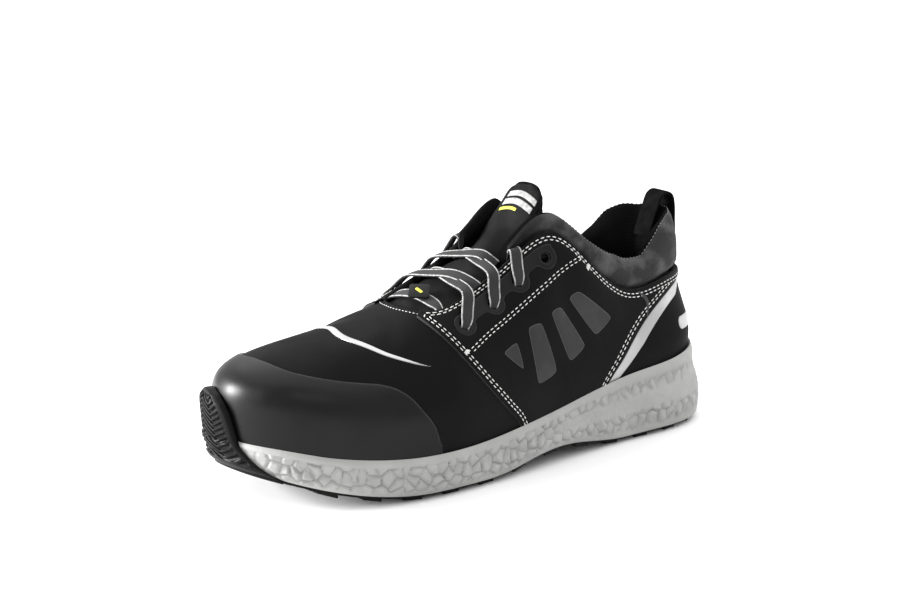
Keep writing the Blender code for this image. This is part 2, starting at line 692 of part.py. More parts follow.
def tongue_ring(line, thick):
    """A closed section from the tongue's outer line and its thickness, thinner at the two edges."""
    back = []
    count = len(line)
    for k, point in enumerate(line):
        before, after = line[max(0, k - 1)], line[min(count - 1, k + 1)]
        along = (after - before).normalized()
        under = Vector((-0.5, 0, -0.86)).cross(along).cross(along)
        under = under.normalized()
        if under.z > 0:
            under = -under
        edge = math.sin(math.pi * (k + 0.6) / (count + 0.2))
        back.append(point + under * thick * (0.35 + 0.65 * edge))
    return line + back[::-1]


def build_tongue(last, finish):
    """The padded tongue, tucked under the vamp and the eyestays and standing proud above them."""
    rings = []
    tucks = (
        # places round the throat, and how far each lies below the rim, in millimetres
        ((8.9, 9.5, 10.0, 10.5, 11.0, 11.5, 12.0, 12.5, 13.1), (12, 12, 12, 12, 12, 12, 12, 12, 12)),
        ((8.5, 8.7, 9.1, 10.1, 11.0, 11.9, 12.9, 13.3, 13.5), (14, 8, 3, 1.5, 1.5, 1.5, 3, 8, 14)),
    )
    for k, (places, depths) in enumerate(tucks):
        spots = [(u, 1 - depth / 1000 / last.wall_length(u)) for u, depth in zip(places, depths)]
        line = [last.offset(u, s, -WALL - SOFT_GAP) for u, s in spots]
        rings.append(tongue_ring(line, TONGUE_THICKNESS * (0.4 + 0.15 * k)))
    for k, share in enumerate((0.620, 0.580, 0.540, 0.512, 0.484, 0.430)):
        x = share * LAST_LENGTH
        outer, inner = tongue_legs(last, x)
        top = [tongue_over(last, x, across) for across in (0.2, 0.5, 0.8)]
        rings.append(tongue_ring(outer + top + inner[::-1], TONGUE_THICKNESS * min(1.0, 0.55 + 0.15 * k)))
    start = [point.copy() for point in rings[-1][:9]]
    centre = start[4]
    flap = (
        # share of the flap's height, width, thickness
        (0.28, 0.97, 1.0), (0.55, 0.95, 1.0), (0.80, 0.91, 0.95), (0.95, 0.84, 0.75), (1.0, 0.74, 0.40),
    )
    for share, width, thick in flap:
        line = []
        for point in start:
            drop = (point.z - centre.z) * (1 - 0.25 * share)
            sweep = TONGUE_REACH * share * (1 - 0.12 * abs(point.y - centre.y) / THROAT_WIDTH)
            level = centre.z + (TONGUE_TOP - centre.z) * share + drop
            line.append(Vector((point.x - sweep, centre.y + (point.y - centre.y) * width, level)))
        rings.append(tongue_ring(line, TONGUE_THICKNESS * thick))
    return loft("tongue", rings, finish)


def cuff_height(last, u):
    """Height of the padded cuff above the rim at a place round the foot."""
    distance = min(u, last.count - u)
    back, ankle, front = CUFF_BACK, CUFF_ANKLE, CUFF_FRONT
    places = (0, 0.8, 1.3, 1.65, 2.0, 2.4, 3.2, 4.4, 6.0)
    heights = (back, back, 0.98 * back, 0.88 * back, 0.68 * back, ankle, ankle, 0.75 * ankle, front)
    return float(np.interp(distance, places, heights))


def cuff_padding(last, u):
    """Thickness of the cuff's padding, thinner towards its front ends."""
    distance = min(u, last.count - u)
    return CUFF_PADDING * float(np.interp(distance, (0, 3.5, 5.0, 6.0), (1, 0.85, 0.55, 0.38)))


def build_cuff(last, finish):
    """The padded collar cuff: tucked inside the upper's rim and rolled over its edge."""
    rings = []
    for step in range(-12, 13):
        u = step / 2 % last.count
        rim, out, lean = last.point(u, 1.0), last.outward(u), last.normal(u, 1.0)
        length, high, pad = last.wall_length(u), cuff_height(last, u), cuff_padding(last, u)
        up = last.point(u, 1.0) - last.point(u, 1 - 0.008 / length)
        up = (up.normalized() * 0.8 + Vector((0, 0, 1))).normalized()
        clear = SOFT_GAP * (1.3 + 1.2 * max(0.0, abs(step) / 2 - 4.0))
        low = last.offset(u, 1 - 0.012 / length, -WALL - 1.6 * clear)
        edge = last.offset(u, 1.0, -WALL - clear) + up * clear
        thin = min(1.0, max(0.0, 2.0 - abs(step) / 2))
        ring = [
            low,
            edge,
            rim + up * (clear + OVERLAY) - lean * 0.0008,
            rim + up * (0.34 * high + clear) + lean * 0.0010,
            rim + up * 0.70 * high + lean * 0.0004,
            rim + up * 0.94 * high - out * (0.22 - 0.12 * thin) * pad,
            rim + up * 1.00 * high - out * (0.50 - 0.25 * thin) * pad,
            rim + up * 0.91 * high - out * (0.85 - 0.35 * thin) * pad,
            rim + up * 0.50 * high - out * (1.05 * pad + WALL),
            rim - up * 0.006 - out * (0.95 * pad + WALL),
            low - out * 0.45 * pad,
        ]
        if abs(step) == 12:
            centre = sum(ring, Vector()) / len(ring)
            ring = [centre.lerp(point, 0.6) for point in ring]
        rings.append(ring)
    return loft("collar_cuff", rings, finish, fine=True)


def build_pull_loop(last, finish):
    """The webbing loop over the back of the cuff, an arch with a finger gap beneath."""
    rim = last.point(0.0, 1.0)
    back, depth = CUFF_BACK, CUFF_PADDING
    shares = (
        (-0.26, 0.05), (-0.28, 0.33), (-0.22, 0.67), (-0.19, 0.99), (-0.04, 1.170),
        (0.34, 1.235), (0.72, 1.175), (0.97, 1.01), (1.26, 0.77), (1.60, 0.50),
    )
    route = [(rim.x + x * depth, rim.z + z * back) for x, z in shares]
    rings = []
    for k, (x, z) in enumerate(route):
        before, after = route[max(0, k - 1)], route[min(len(route) - 1, k + 1)]
        along = Vector((after[0] - before[0], 0, after[1] - before[1])).normalized()
        side = Vector((-along.z, 0, along.x)) * LOOP_THICKNESS / 2
        centre = Vector((x, 0, z))
        half = Vector((0, LOOP_WIDTH / 2, 0))
        corners = (side + half, side - half, -side - half, -side + half)
        rings.append([centre + corner for corner in corners])
    return loft("pull_loop", rings, finish)


def lace_band(points, ups):
    """Rings of a flat oval lace along a path whose broad side faces the given directions."""
    rings = []
    for k, (point, up) in enumerate(zip(points, ups)):
        before, after = points[max(0, k - 1)], points[min(len(points) - 1, k + 1)]
        along = (after - before).normalized()
        side = along.cross(up).normalized()
        up = side.cross(along).normalized()
        angles = [2 * math.pi * (corner + 0.5) / 8 for corner in range(8)]
        wide, high = LACE_WIDTH / 2, LACE_THICKNESS / 2
        rings.append([point + side * wide * math.cos(a) + up * high * math.sin(a) for a in angles])
    return rings


def smooth_route(points, count):
    """Points along a smooth curve through a few chosen ones."""
    array = np.array([point[:] for point in points])
    places = np.linspace(0, len(points) - 1, count)
    return [Vector(smooth_steps(where, range(len(points)), array)) for where in places]


def route_ups(points):
    """The direction that a lace's broad side faces, along its route."""
    return [Vector((0.42, 1.9 * point.y / THROAT_WIDTH, 0.9)).normalized() for point in points]


def stay_points(last, side, eyelet):
    """A lace's points over the eyestay, from just above an eyelet to just past the rim."""
    u, s = eyelet_places(last)[side][eyelet]
    hover = GAP + OVERLAY + SOFT_GAP + LACE_THICKNESS / 2
    edge_u = rim_place(last, last.row(u).rim_x - 0.001, side)
    halfway = s + 0.5 * (1 - s)
    past = last.offset(edge_u, 1.0, hover + 0.0004)
    return [last.offset(u, s, hover), last.offset(u, halfway, hover), past]


def build_laces(last, finish):
    """The lace: a bar at the front, two crossings, and a short fall to each third eyelet."""
    hover = SOFT_GAP + LACE_THICKNESS / 2
    for number, name in ((0, "lower"), (1, "upper")):
        pair = []
        for side, lift in (("outer", 0.0), ("inner", 0.0012)):
            points = stay_points(last, side, number)
            start = last.row(eyelet_places(last)[side][number][0]).rim_x
            for across in (0.30, 0.60, 0.86):
                x = start - 0.001 - 0.008 * across
                where = across if side == "outer" else 1 - across
                above = hover + lift * math.sin(math.pi * across) + 0.0010
                points.append(tongue_over(last, x, where, above))
            points = smooth_route(points, 14)
            pair.append(lace_band(points, route_ups(points)))
        crossing = loft(f"lace_cross_{name}", pair[0], finish)
        other = loft(f"lace_over_{name}", pair[1], None)
        other.hide_render = True
        other.display_type = "WIRE"
        cut(crossing, other, "UNION")
    bar_x = last.row(eyelet_places(last)["outer"][0][0]).rim_x + 0.0125
    points = [tongue_over(last, bar_x, across, hover) for across in (0.12, 0.31, 0.5, 0.69, 0.88)]
    loft("lace_bar", lace_band(points, route_ups(points)), finish)
    for side in ("outer", "inner"):
        points = smooth_route(stay_points(last, side, 2), 7)
        loft(f"lace_fall_{side}", lace_band(points, route_ups(points)), finish)


def build_tag(last, finish):
    """The small diamond tag on the lowest laces."""
    x = last.row(eyelet_places(last)["outer"][0][0]).rim_x + 0.0135
    bm = bmesh.new()
    bmesh.ops.create_cube(bm, size=1.0)
    bmesh.ops.scale(bm, vec=(TAG_SIZE, TAG_SIZE, TAG_THICKNESS), verts=bm.verts)
    edges = [e for e in bm.edges if abs(e.verts[0].co.z - e.verts[1].co.z) > 0.5 * TAG_THICKNESS]
    bmesh.ops.bevel(bm, geom=edges, offset=0.0014, affect="EDGES", segments=2, profile=0.5, material=-1)
    tag = add_object("lace_tag", bm, finish)
    tag.location = tongue_over(last, x, 0.42, SOFT_GAP + LACE_THICKNESS + 0.0021)
    tag.rotation_euler = (0, math.radians(24), math.radians(45))
    return tag


def centre_on_floor():
    """Moves the whole shoe so that its box is centred on the origin and stands on the floor."""
    graph = bpy.context.evaluated_depsgraph_get()
    low, high = Vector((9, 9, 9)), Vector((-9, -9, -9))
    for obj in bpy.context.scene.objects:
        if obj.type != "MESH" or obj.hide_render:
            continue
        solid = obj.evaluated_get(graph)
        for vertex in solid.data.vertices:
            place = solid.matrix_world @ vertex.co
            low = Vector(map(min, low, place))
            high = Vector(map(max, high, place))
    shift = Vector((-(low.x + high.x) / 2, -(low.y + high.y) / 2, -low.z))
    for obj in bpy.context.scene.objects:
        obj.location += shift


def main():
    """Builds every solid and stands the shoe on the floor."""
    for obj in list(bpy.data.objects):
        bpy.data.objects.remove(obj)
    last = Last()
    black = material("black_microfibre", (0.012, 0.012, 0.012), 0.45)
    cap_black = material("toe_cap_black", (0.010, 0.010, 0.010), 0.22)
    rubber = material("black_rubber", (0.010, 0.010, 0.010), 0.55)
    foam = material("grey_foam", (0.42, 0.42, 0.41), 0.65)
    cuff_grey = material("grey_padding", (0.05, 0.05, 0.05), 0.8)
    fabric = material("black_fabric", (0.010, 0.010, 0.010), 0.85)
    webbing = material("lace_webbing", (0.015, 0.015, 0.015), 0.8)
    upper = build_upper(last, black)
    build_toe_cap(last, cap_black)
    build_quarters(last, upper, black)
    build_midsole(last, foam)
    build_outsole(last, rubber)
    build_insole(last, fabric)
    build_tongue(last, black)
    build_cuff(last, cuff_grey)
    build_pull_loop(last, webbing)
    build_laces(last, webbing)
    build_tag(last, rubber)
    bpy.context.view_layer.update()
    centre_on_floor()


main()
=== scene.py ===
"""The looks of a low safety sneaker, left shoe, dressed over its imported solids.

The shoe points along +X, its outer side is +Y and the floor is z = 0. Lengths are in metres unless a
name ends in _mm. The upper's surface is worked out from the same stations round the foot as the solids:
a place u runs round the foot, from the heel back along the outer side to the toe and home, and a share
s climbs the wall from the sole to the rim of the opening.
"""

import logging
import math
from collections import namedtuple
from dataclasses import dataclass, field
from enum import Enum
from typing import Callable, Iterable, Sequence

import bmesh
import bpy
import numpy as np
from mathutils import Matrix, Vector


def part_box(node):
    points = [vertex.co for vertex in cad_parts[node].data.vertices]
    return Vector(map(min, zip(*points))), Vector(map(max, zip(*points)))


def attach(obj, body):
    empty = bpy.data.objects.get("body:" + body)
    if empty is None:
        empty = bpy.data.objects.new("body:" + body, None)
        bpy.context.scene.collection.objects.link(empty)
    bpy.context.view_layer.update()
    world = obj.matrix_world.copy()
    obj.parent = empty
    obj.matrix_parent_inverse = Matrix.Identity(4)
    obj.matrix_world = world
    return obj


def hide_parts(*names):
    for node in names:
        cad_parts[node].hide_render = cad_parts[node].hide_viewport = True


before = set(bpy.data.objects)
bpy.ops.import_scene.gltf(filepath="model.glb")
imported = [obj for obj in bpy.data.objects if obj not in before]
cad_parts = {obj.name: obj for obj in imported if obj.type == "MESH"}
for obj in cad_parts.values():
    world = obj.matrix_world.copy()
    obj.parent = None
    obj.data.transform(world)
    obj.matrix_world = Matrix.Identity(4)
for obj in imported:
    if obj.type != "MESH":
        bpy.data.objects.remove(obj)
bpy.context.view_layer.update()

LOG = logging.getLogger("sneaker")
Array = np.ndarray
Field = Callable[[Array, Array], Array]
Profile = Callable[[Array], Array]
MM = 0.001

Station = namedtuple("Station", "x y rim_x rim_y rim_z wall lean inset shoulder slope")
SoleRow = namedtuple("SoleRow", "at rim ledge neck bulge foot")


class Side(Enum):
    """The two sides of the shoe."""

    OUTER = 1
    INNER = -1


class Weave(Enum):
    """How the threads of a textile show in its surface."""

    NONE = "none"
    PLAIN = "plain"
    KNIT = "knit"
    RIB = "rib"


def spline_control(values: Array) -> Array:
    """Control rows of the closed cubic B-spline that passes through the given rows."""
    near = np.eye(len(values))
    mix = (4 * near + np.roll(near, 1, axis=1) + np.roll(near, -1, axis=1)) / 6
    return np.linalg.solve(mix, values)


def spline_at(control: Array, where: Array) -> Array:
    """Points of a uniform cubic B-spline.

    Args:
        control: Control rows, with the knot on the first axis.
        where: Places along the knots.

    Returns:
        One point, or array of points, for each place.
    """
    where = np.asarray(where, float)
    knot = np.floor(where).astype(int)
    f = (where - knot).reshape(where.shape + (1,) * (control.ndim - 1))
    basis = (
        (1 - f) ** 3 / 6,
        (3 * f**3 - 6 * f**2 + 4) / 6,
        (-3 * f**3 + 3 * f**2 + 3 * f + 1) / 6,
        f**3 / 6,
    )
    return sum(b * control[(knot + k - 1) % len(control)] for k, b in enumerate(basis))


def smooth_steps(x: Array, xs: Sequence[float], values: Array) -> Array:
    """A smooth curve through rows of values at the places xs, read at x.

    Args:
        x: Places along the last, in metres.
        xs: The places at which values are known.
        values: A row of values for each known place.

    Returns:
        The values at x.
    """
    xs, values = np.asarray(xs, float), np.asarray(values, float)
    slopes = np.gradient(values, xs, axis=0)
    x = np.clip(x, xs[0], xs[-1])
    i = np.clip(np.searchsorted(xs, x) - 1, 0, len(xs) - 2)
    extra = (1,) * (values.ndim - 1)
    span = (xs[i + 1] - xs[i]).reshape(np.shape(x) + extra)
    f = (x - xs[i]).reshape(np.shape(x) + extra) / span
    a, b = 2 * f**3 - 3 * f**2 + 1, f**3 - 2 * f**2 + f
    c, d = -2 * f**3 + 3 * f**2, f**3 - f**2
    return a * values[i] + b * span * slopes[i] + c * values[i + 1] + d * span * slopes[i + 1]


def ease(x: Array) -> Array:
    """A soft step from 0 to 1 as x goes from 0 to 1."""
    x = np.clip(x, 0, 1)
    return x * x * (3 - 2 * x)


def unit(vectors: Array) -> Array:
    """The vectors at length one."""
    return vectors / np.maximum(np.linalg.norm(vectors, axis=-1, keepdims=True), 1e-12)


def in_polygon(x: Array, y: Array, corners: Array) -> Array:
    """Whether each point lies inside a polygon.

    Args:
        x: The first coordinate of each point.
        y: The second coordinate of each point.
        corners: The corners of the outline.

    Returns:
        True for each point inside.
    """
    inside = np.zeros(np.shape(x), bool)
    ahead = np.roll(corners, -1, axis=0)
    for (x0, y0), (x1, y1) in zip(corners, ahead):
        if y0 == y1:
            continue
        crosses = (y0 > y) != (y1 > y)
        inside ^= crosses & (x < (x1 - x0) * (y - y0) / (y1 - y0) + x0)
    return inside


@dataclass(frozen=True)
class Finish:
    """A surface finish, built as one Principled material on Object coordinates.

    Lengths are real ones in millimetres. Colours are linear.
    """

    name: str
    colour: tuple[float, float, float]
    roughness: float
    blotch_colour: tuple[float, float, float] | None = None
    blotch_mm: float = 18.0
    blotch_amount: float = 0.6
    grain_mm: float = 0.8
    grain_height_mm: float = 0.05
    pore_mm: float = 0.0
    pore_height_mm: float = 0.05
    weave: Weave = Weave.NONE
    thread_mm: float = 0.7
    thread_height_mm: float = 0.12
    rough_spread: float = 0.08
    # Colour of a band near cut edges or grooves: a painted highlight on the panels, cap, films and windows,
    # painted shade in the foam's grooves, a darker tone on the cuff and the silver.
    edge_tone_and_painted_light: tuple[float, float, float] | None = None
    edge_mm: float = 0.5
    sheen: float = 0.0
    metallic: float = 0.0
    specular: float = 0.5
    ior: float = 1.5

    def build(self) -> bpy.types.Material:
        """The finish as a material with its nodes.

        Returns:
            The material.
        """
        made = bpy.data.materials.new(self.name)
        made.use_nodes = True
        tree = made.node_tree
        shader = tree.nodes["Principled BSDF"]
        shader.inputs["Roughness"].default_value = self.roughness
        shader.inputs["Metallic"].default_value = self.metallic
        shader.inputs["Sheen Weight"].default_value = self.sheen
        shader.inputs["Sheen Roughness"].default_value = 0.45
        shader.inputs["Specular IOR Level"].default_value = self.specular
        shader.inputs["IOR"].default_value = self.ior
        shader.inputs["Base Color"].default_value = (*self.colour, 1)
        place = tree.nodes.new("ShaderNodeTexCoord")
        self._dress_colour(tree, place, shader)
        self._dress_relief(tree, place, shader)
        made.diffuse_color = (*self.colour, 1)
        return made

    def _noise(
        self, tree: bpy.types.NodeTree, place: bpy.types.Node, size_mm: float, detail: float
    ) -> bpy.types.Node:
        """A noise texture whose features are about the given size.

        Args:
            tree: The material's node tree.
            place: The node that gives the coordinates.
            size_mm: Size of the features, in millimetres.
            detail: How much finer detail the noise has.

        Returns:
            The texture node.
        """
        noise = tree.nodes.new("ShaderNodeTexNoise")
        noise.inputs["Scale"].default_value = 1000 / size_mm / 2
        noise.inputs["Detail"].default_value = detail
        tree.links.new(place.outputs["Object"], noise.inputs["Vector"])
        return noise

    def _dress_colour(self, tree: bpy.types.NodeTree, place: bpy.types.Node, shader: bpy.types.Node) -> None:
        """Blotches of a second colour, an edge band of another colour (a painted highlight along rounded cut
        edges, painted shade in the foam's grooves, a darker front end on the cuff), and gloss that varies a
        little.

        Args:
            tree: The material's node tree.
            place: The node that gives the coordinates.
            shader: The material's shader node.
        """
        blotch = self._noise(tree, place, self.blotch_mm, 4.0)
        ramp = tree.nodes.new("ShaderNodeMapRange")
        ramp.inputs["From Min"].default_value = 0.42
        ramp.inputs["From Max"].default_value = 0.66
        ramp.inputs["To Max"].default_value = self.blotch_amount
        tree.links.new(blotch.outputs["Fac"], ramp.inputs["Value"])
        mix = tree.nodes.new("ShaderNodeMix")
        mix.data_type = "RGBA"
        mix.inputs["A"].default_value = (*self.colour, 1)
        second = self.blotch_colour or tuple(min(1.0, c * 1.35 + 0.002) for c in self.colour)
        mix.inputs["B"].default_value = (*second, 1)
        tree.links.new(ramp.outputs["Result"], mix.inputs["Factor"])
        colour = mix.outputs["Result"]
        # The edge band paints light: a highlight along rounded cut edges, and shade in the foam's grooves.
        if self.edge_tone_and_painted_light is not None:
            colour = self._paint_edge_tone_and_light(tree, colour)
        tree.links.new(colour, shader.inputs["Base Color"])
        gloss = tree.nodes.new("ShaderNodeMapRange")
        gloss.inputs["From Min"].default_value = 0.3
        gloss.inputs["From Max"].default_value = 0.7
        gloss.inputs["To Min"].default_value = max(0.02, self.roughness - self.rough_spread)
        gloss.inputs["To Max"].default_value = min(1.0, self.roughness + self.rough_spread)
        smudge = self._noise(tree, place, self.blotch_mm * 0.4, 3.0)
        tree.links.new(smudge.outputs["Fac"], gloss.inputs["Value"])
        tree.links.new(gloss.outputs["Result"], shader.inputs["Roughness"])

    def _paint_edge_tone_and_light(self, tree: bpy.types.NodeTree, colour: bpy.types.NodeSocket) -> bpy.types.NodeSocket:
        """A band of another colour near the piece's cut edge or groove, read from its edge attribute: a
        painted highlight along the rounded cut edges of the panels, cap, films and windows, painted shade in
        the foam's grooves, a darker rim on the silver and a darker tone towards the cuff's front ends.

        Args:
            tree: The material's node tree.
            colour: The colour before the edge is drawn.

        Returns:
            The colour with its edge.
        """
        edge = tree.nodes.new("ShaderNodeAttribute")
        edge.attribute_name = "edge_mm"
        near = tree.nodes.new("ShaderNodeMapRange")
        near.inputs["From Min"].default_value = self.edge_mm * 0.5
        near.inputs["From Max"].default_value = self.edge_mm * 1.5
        near.inputs["To Min"].default_value = 1.0
        near.inputs["To Max"].default_value = 0.0
        tree.links.new(edge.outputs["Fac"], near.inputs["Value"])
        line = tree.nodes.new("ShaderNodeMix")
        line.data_type = "RGBA"
        tree.links.new(near.outputs["Result"], line.inputs["Factor"])
        tree.links.new(colour, line.inputs["A"])
        line.inputs["B"].default_value = (*self.edge_tone_and_painted_light, 1)
        return line.outputs["Result"]

    def _dress_relief(self, tree: bpy.types.NodeTree, place: bpy.types.Node, shader: bpy.types.Node) -> None:
        """Grain, pores and threads as a chain of bumps.

        Args:
            tree: The material's node tree.
            place: The node that gives the coordinates.
            shader: The material's shader node.
        """
        normal = None
        if self.grain_height_mm > 0:
            grain = self._noise(tree, place, self.grain_mm, 5.0)
            normal = self._bump(tree, grain.outputs["Fac"], self.grain_height_mm, normal)
        if self.pore_mm > 0:
            pores = tree.nodes.new("ShaderNodeTexVoronoi")
            pores.inputs["Scale"].default_value = 1000 / self.pore_mm
            tree.links.new(place.outputs["Object"], pores.inputs["Vector"])
            normal = self._bump(tree, pores.outputs["Distance"], self.pore_height_mm, normal)
        if self.weave is not Weave.NONE:
            normal = self._bump(tree, self._threads(tree, place), self.thread_height_mm, normal)
        if normal is not None:
            tree.links.new(normal, shader.inputs["Normal"])

    def _bump(
        self,
        tree: bpy.types.NodeTree,
        height: bpy.types.NodeSocket,
        depth_mm: float,
        under: bpy.types.NodeSocket | None,
    ) -> bpy.types.NodeSocket:
        """A bump of the given depth on top of the ones under it.

        Args:
            tree: The material's node tree.
            height: The socket that gives the relief's height.
            depth_mm: Depth of the relief, in millimetres.
            under: The relief below it, if there is any.

        Returns:
            The normal to pass on.
        """
        bump = tree.nodes.new("ShaderNodeBump")
        bump.inputs["Distance"].default_value = depth_mm * MM
        tree.links.new(height, bump.inputs["Height"])
        if under is not None:
            tree.links.new(under, bump.inputs["Normal"])
        return bump.outputs["Normal"]

    def _threads(self, tree: bpy.types.NodeTree, place: bpy.types.Node) -> bpy.types.NodeSocket:
        """Threads that run along and across the piece's own UV map, which is in metres.

        Args:
            tree: The material's node tree.
            place: The node that gives the coordinates.

        Returns:
            The height of the threads.
        """
        ratio = {Weave.PLAIN: (1.0, 1.0), Weave.KNIT: (1.0, 0.6), Weave.RIB: (1.0, 0.22)}[self.weave]
        waves = []
        for direction, share in zip(("X", "Y"), ratio):
            wave = tree.nodes.new("ShaderNodeTexWave")
            wave.bands_direction = direction
            wave.inputs["Scale"].default_value = 1000 / self.thread_mm * share / 2 / math.pi * 2
            wave.inputs["Distortion"].default_value = 0.6
            wave.inputs["Detail Scale"].default_value = 2.0
            tree.links.new(place.outputs["UV"], wave.inputs["Vector"])
            waves.append(wave.outputs["Fac"])
        product = tree.nodes.new("ShaderNodeMath")
        product.operation = "MULTIPLY"
        tree.links.new(waves[0], product.inputs[0])
        tree.links.new(waves[1], product.inputs[1])
        return product.outputs["Value"]


@dataclass(frozen=True)
class Wardrobe:
    """Every finish of the shoe, each built once."""

    # The microfibre's lighter edge colour is a painted highlight along the panels' rounded cut edges and
    # eyelet holes.
    microfibre: Finish = Finish(
        "black_microfibre", (0.0050, 0.0050, 0.0052), 0.50, (0.0085, 0.0085, 0.0087), 26, 0.7, 0.55, 0.05,
        pore_mm=0.9, pore_height_mm=0.03, edge_tone_and_painted_light=(0.045, 0.045, 0.045), edge_mm=0.35,
        specular=0.40, ior=1.14,
    )
    vamp: Finish = Finish(
        "black_vamp_microfibre", (0.0075, 0.0075, 0.0077), 0.46, (0.012, 0.012, 0.0122), 32, 0.7, 0.5, 0.04,
        pore_mm=0.8, pore_height_mm=0.02, specular=0.50, ior=1.07,
    )
    # The cap's lighter edge colour is a painted highlight along its rounded rear edge.
    cap: Finish = Finish(
        "coated_toe_cap", (0.0028, 0.0028, 0.0030), 0.35, (0.0040, 0.0040, 0.0042), 22, 0.5, 0.45, 0.02,
        edge_tone_and_painted_light=(0.010, 0.010, 0.010), edge_mm=0.4, specular=0.28, ior=1.40,
    )
    # The film's lighter edge colour is a painted highlight along its rounded edge.
    film: Finish = Finish(
        "eyestay_film", (0.0085, 0.0085, 0.0087), 0.38, (0.012, 0.012, 0.012), 12, 0.6, 0.5, 0.012,
        edge_tone_and_painted_light=(0.020, 0.020, 0.020), edge_mm=0.5, specular=0.50, ior=1.20,
    )
    # The lighter edge colour is a painted highlight along the rounded edges of the windows and collar arcs.
    window: Finish = Finish(
        "grey_window_film", (0.028, 0.028, 0.0285), 0.38, (0.042, 0.042, 0.043), 9, 0.9, 0.4, 0.012,
        pore_mm=0.7, pore_height_mm=0.03, edge_tone_and_painted_light=(0.070, 0.070, 0.070), edge_mm=0.35,
        specular=0.40, ior=1.25,
    )
    silver: Finish = Finish(
        "silver_reflective", (0.40, 0.40, 0.40), 0.36, (0.56, 0.56, 0.56), 10, 0.8, 0.35, 0.02,
        edge_tone_and_painted_light=(0.22, 0.22, 0.22), edge_mm=0.3, metallic=0.45, rough_spread=0.05,
    )
    silver_bar: Finish = Finish(
        "pale_heel_bar", (0.34, 0.34, 0.34), 0.40, (0.60, 0.60, 0.60), 8, 0.6, 0.4, 0.015,
    )
    thread: Finish = Finish(
        "white_thread", (0.72, 0.72, 0.70), 0.6, (0.55, 0.55, 0.53), 6, 0.6, 0.25, 0.03, sheen=0.2,
    )
    dark_thread: Finish = Finish(
        "grey_thread", (0.16, 0.16, 0.16), 0.7, (0.08, 0.08, 0.08), 3, 0.7, 0.25, 0.03,
    )
    lining: Finish = Finish(
        "black_lining", (0.0035, 0.0035, 0.0035), 0.9, weave=Weave.KNIT, thread_mm=1.1, grain_mm=0.6,
        specular=0.50, ior=1.05,
    )
    cuff: Finish = Finish(
        "mottled_cuff_fabric", (0.030, 0.030, 0.031), 0.80, (0.085, 0.085, 0.086), 5.0, 0.9, 0.7, 0.12,
        pore_mm=0.9, pore_height_mm=0.10, weave=Weave.KNIT, thread_mm=0.8, thread_height_mm=0.05, sheen=0.05,
        specular=0.40, ior=1.12, edge_tone_and_painted_light=(0.012, 0.012, 0.012), edge_mm=26.0,
    )
    tongue: Finish = Finish(
        "tongue_textile", (0.0075, 0.0075, 0.0077), 0.62, (0.018, 0.018, 0.0185), 14, 0.8, 0.6, 0.08,
        weave=Weave.PLAIN, thread_mm=0.9, thread_height_mm=0.04, specular=0.40, ior=1.10,
    )
    lace: Finish = Finish(
        "lace_webbing", (0.0025, 0.0025, 0.0025), 0.75, (0.014, 0.014, 0.014), 1.4, 0.9, 0.5, 0.10,
        weave=Weave.PLAIN, thread_mm=0.9, thread_height_mm=0.40, specular=0.50, ior=1.04,
    )
    lace_edge: Finish = Finish(
        "lace_edge_thread", (0.38, 0.38, 0.375), 0.7, (0.10, 0.10, 0.10), 0.9, 0.8, 0.3, 0.05,
    )
    webbing: Finish = Finish(
        "loop_webbing", (0.0040, 0.0040, 0.0040), 0.78, (0.010, 0.010, 0.010), 4, 0.6, 0.5, 0.08,
        weave=Weave.RIB, thread_mm=1.0, thread_height_mm=0.20, specular=0.50, ior=1.04,
    )
    # The foam's darker edge colour, read from the distance to the cobbles' grooves, is painted shade in the
    # grooves.
    foam: Finish = Finish(
        "grey_midsole_foam", (0.31, 0.31, 0.303), 0.62, (0.37, 0.37, 0.36), 9, 0.6, 0.55, 0.12,
        pore_mm=0.75, pore_height_mm=0.05, rough_spread=0.06, edge_tone_and_painted_light=(0.25, 0.25, 0.245), edge_mm=0.30,
    )
    rubber: Finish = Finish(
        "black_outsole_rubber", (0.0040, 0.0040, 0.0040), 0.46, (0.008, 0.008, 0.008), 10, 0.6, 0.6, 0.05,
        specular=0.40, ior=1.22,
    )
    moulding: Finish = Finish(
        "tag_moulding", (0.008, 0.008, 0.0078), 0.5, (0.012, 0.012, 0.011), 5, 0.5, 0.4, 0.05,
        specular=0.3, ior=1.3,
    )
    yellow: Finish = Finish("yellow_print", (0.72, 0.70, 0.06), 0.5, (0.60, 0.58, 0.05), 2, 0.5, 0.4, 0.02)
    pale: Finish = Finish(
        "pale_woven_print", (0.34, 0.34, 0.335), 0.6, (0.16, 0.16, 0.16), 1.2, 0.8, 0.4, 0.05,
    )

    def get(self, name: str) -> bpy.types.Material:
        """The material of the named finish, built on first use."""
        finish: Finish = getattr(self, name)
        return bpy.data.materials.get(finish.name) or finish.build()


WARDROBE = Wardrobe()


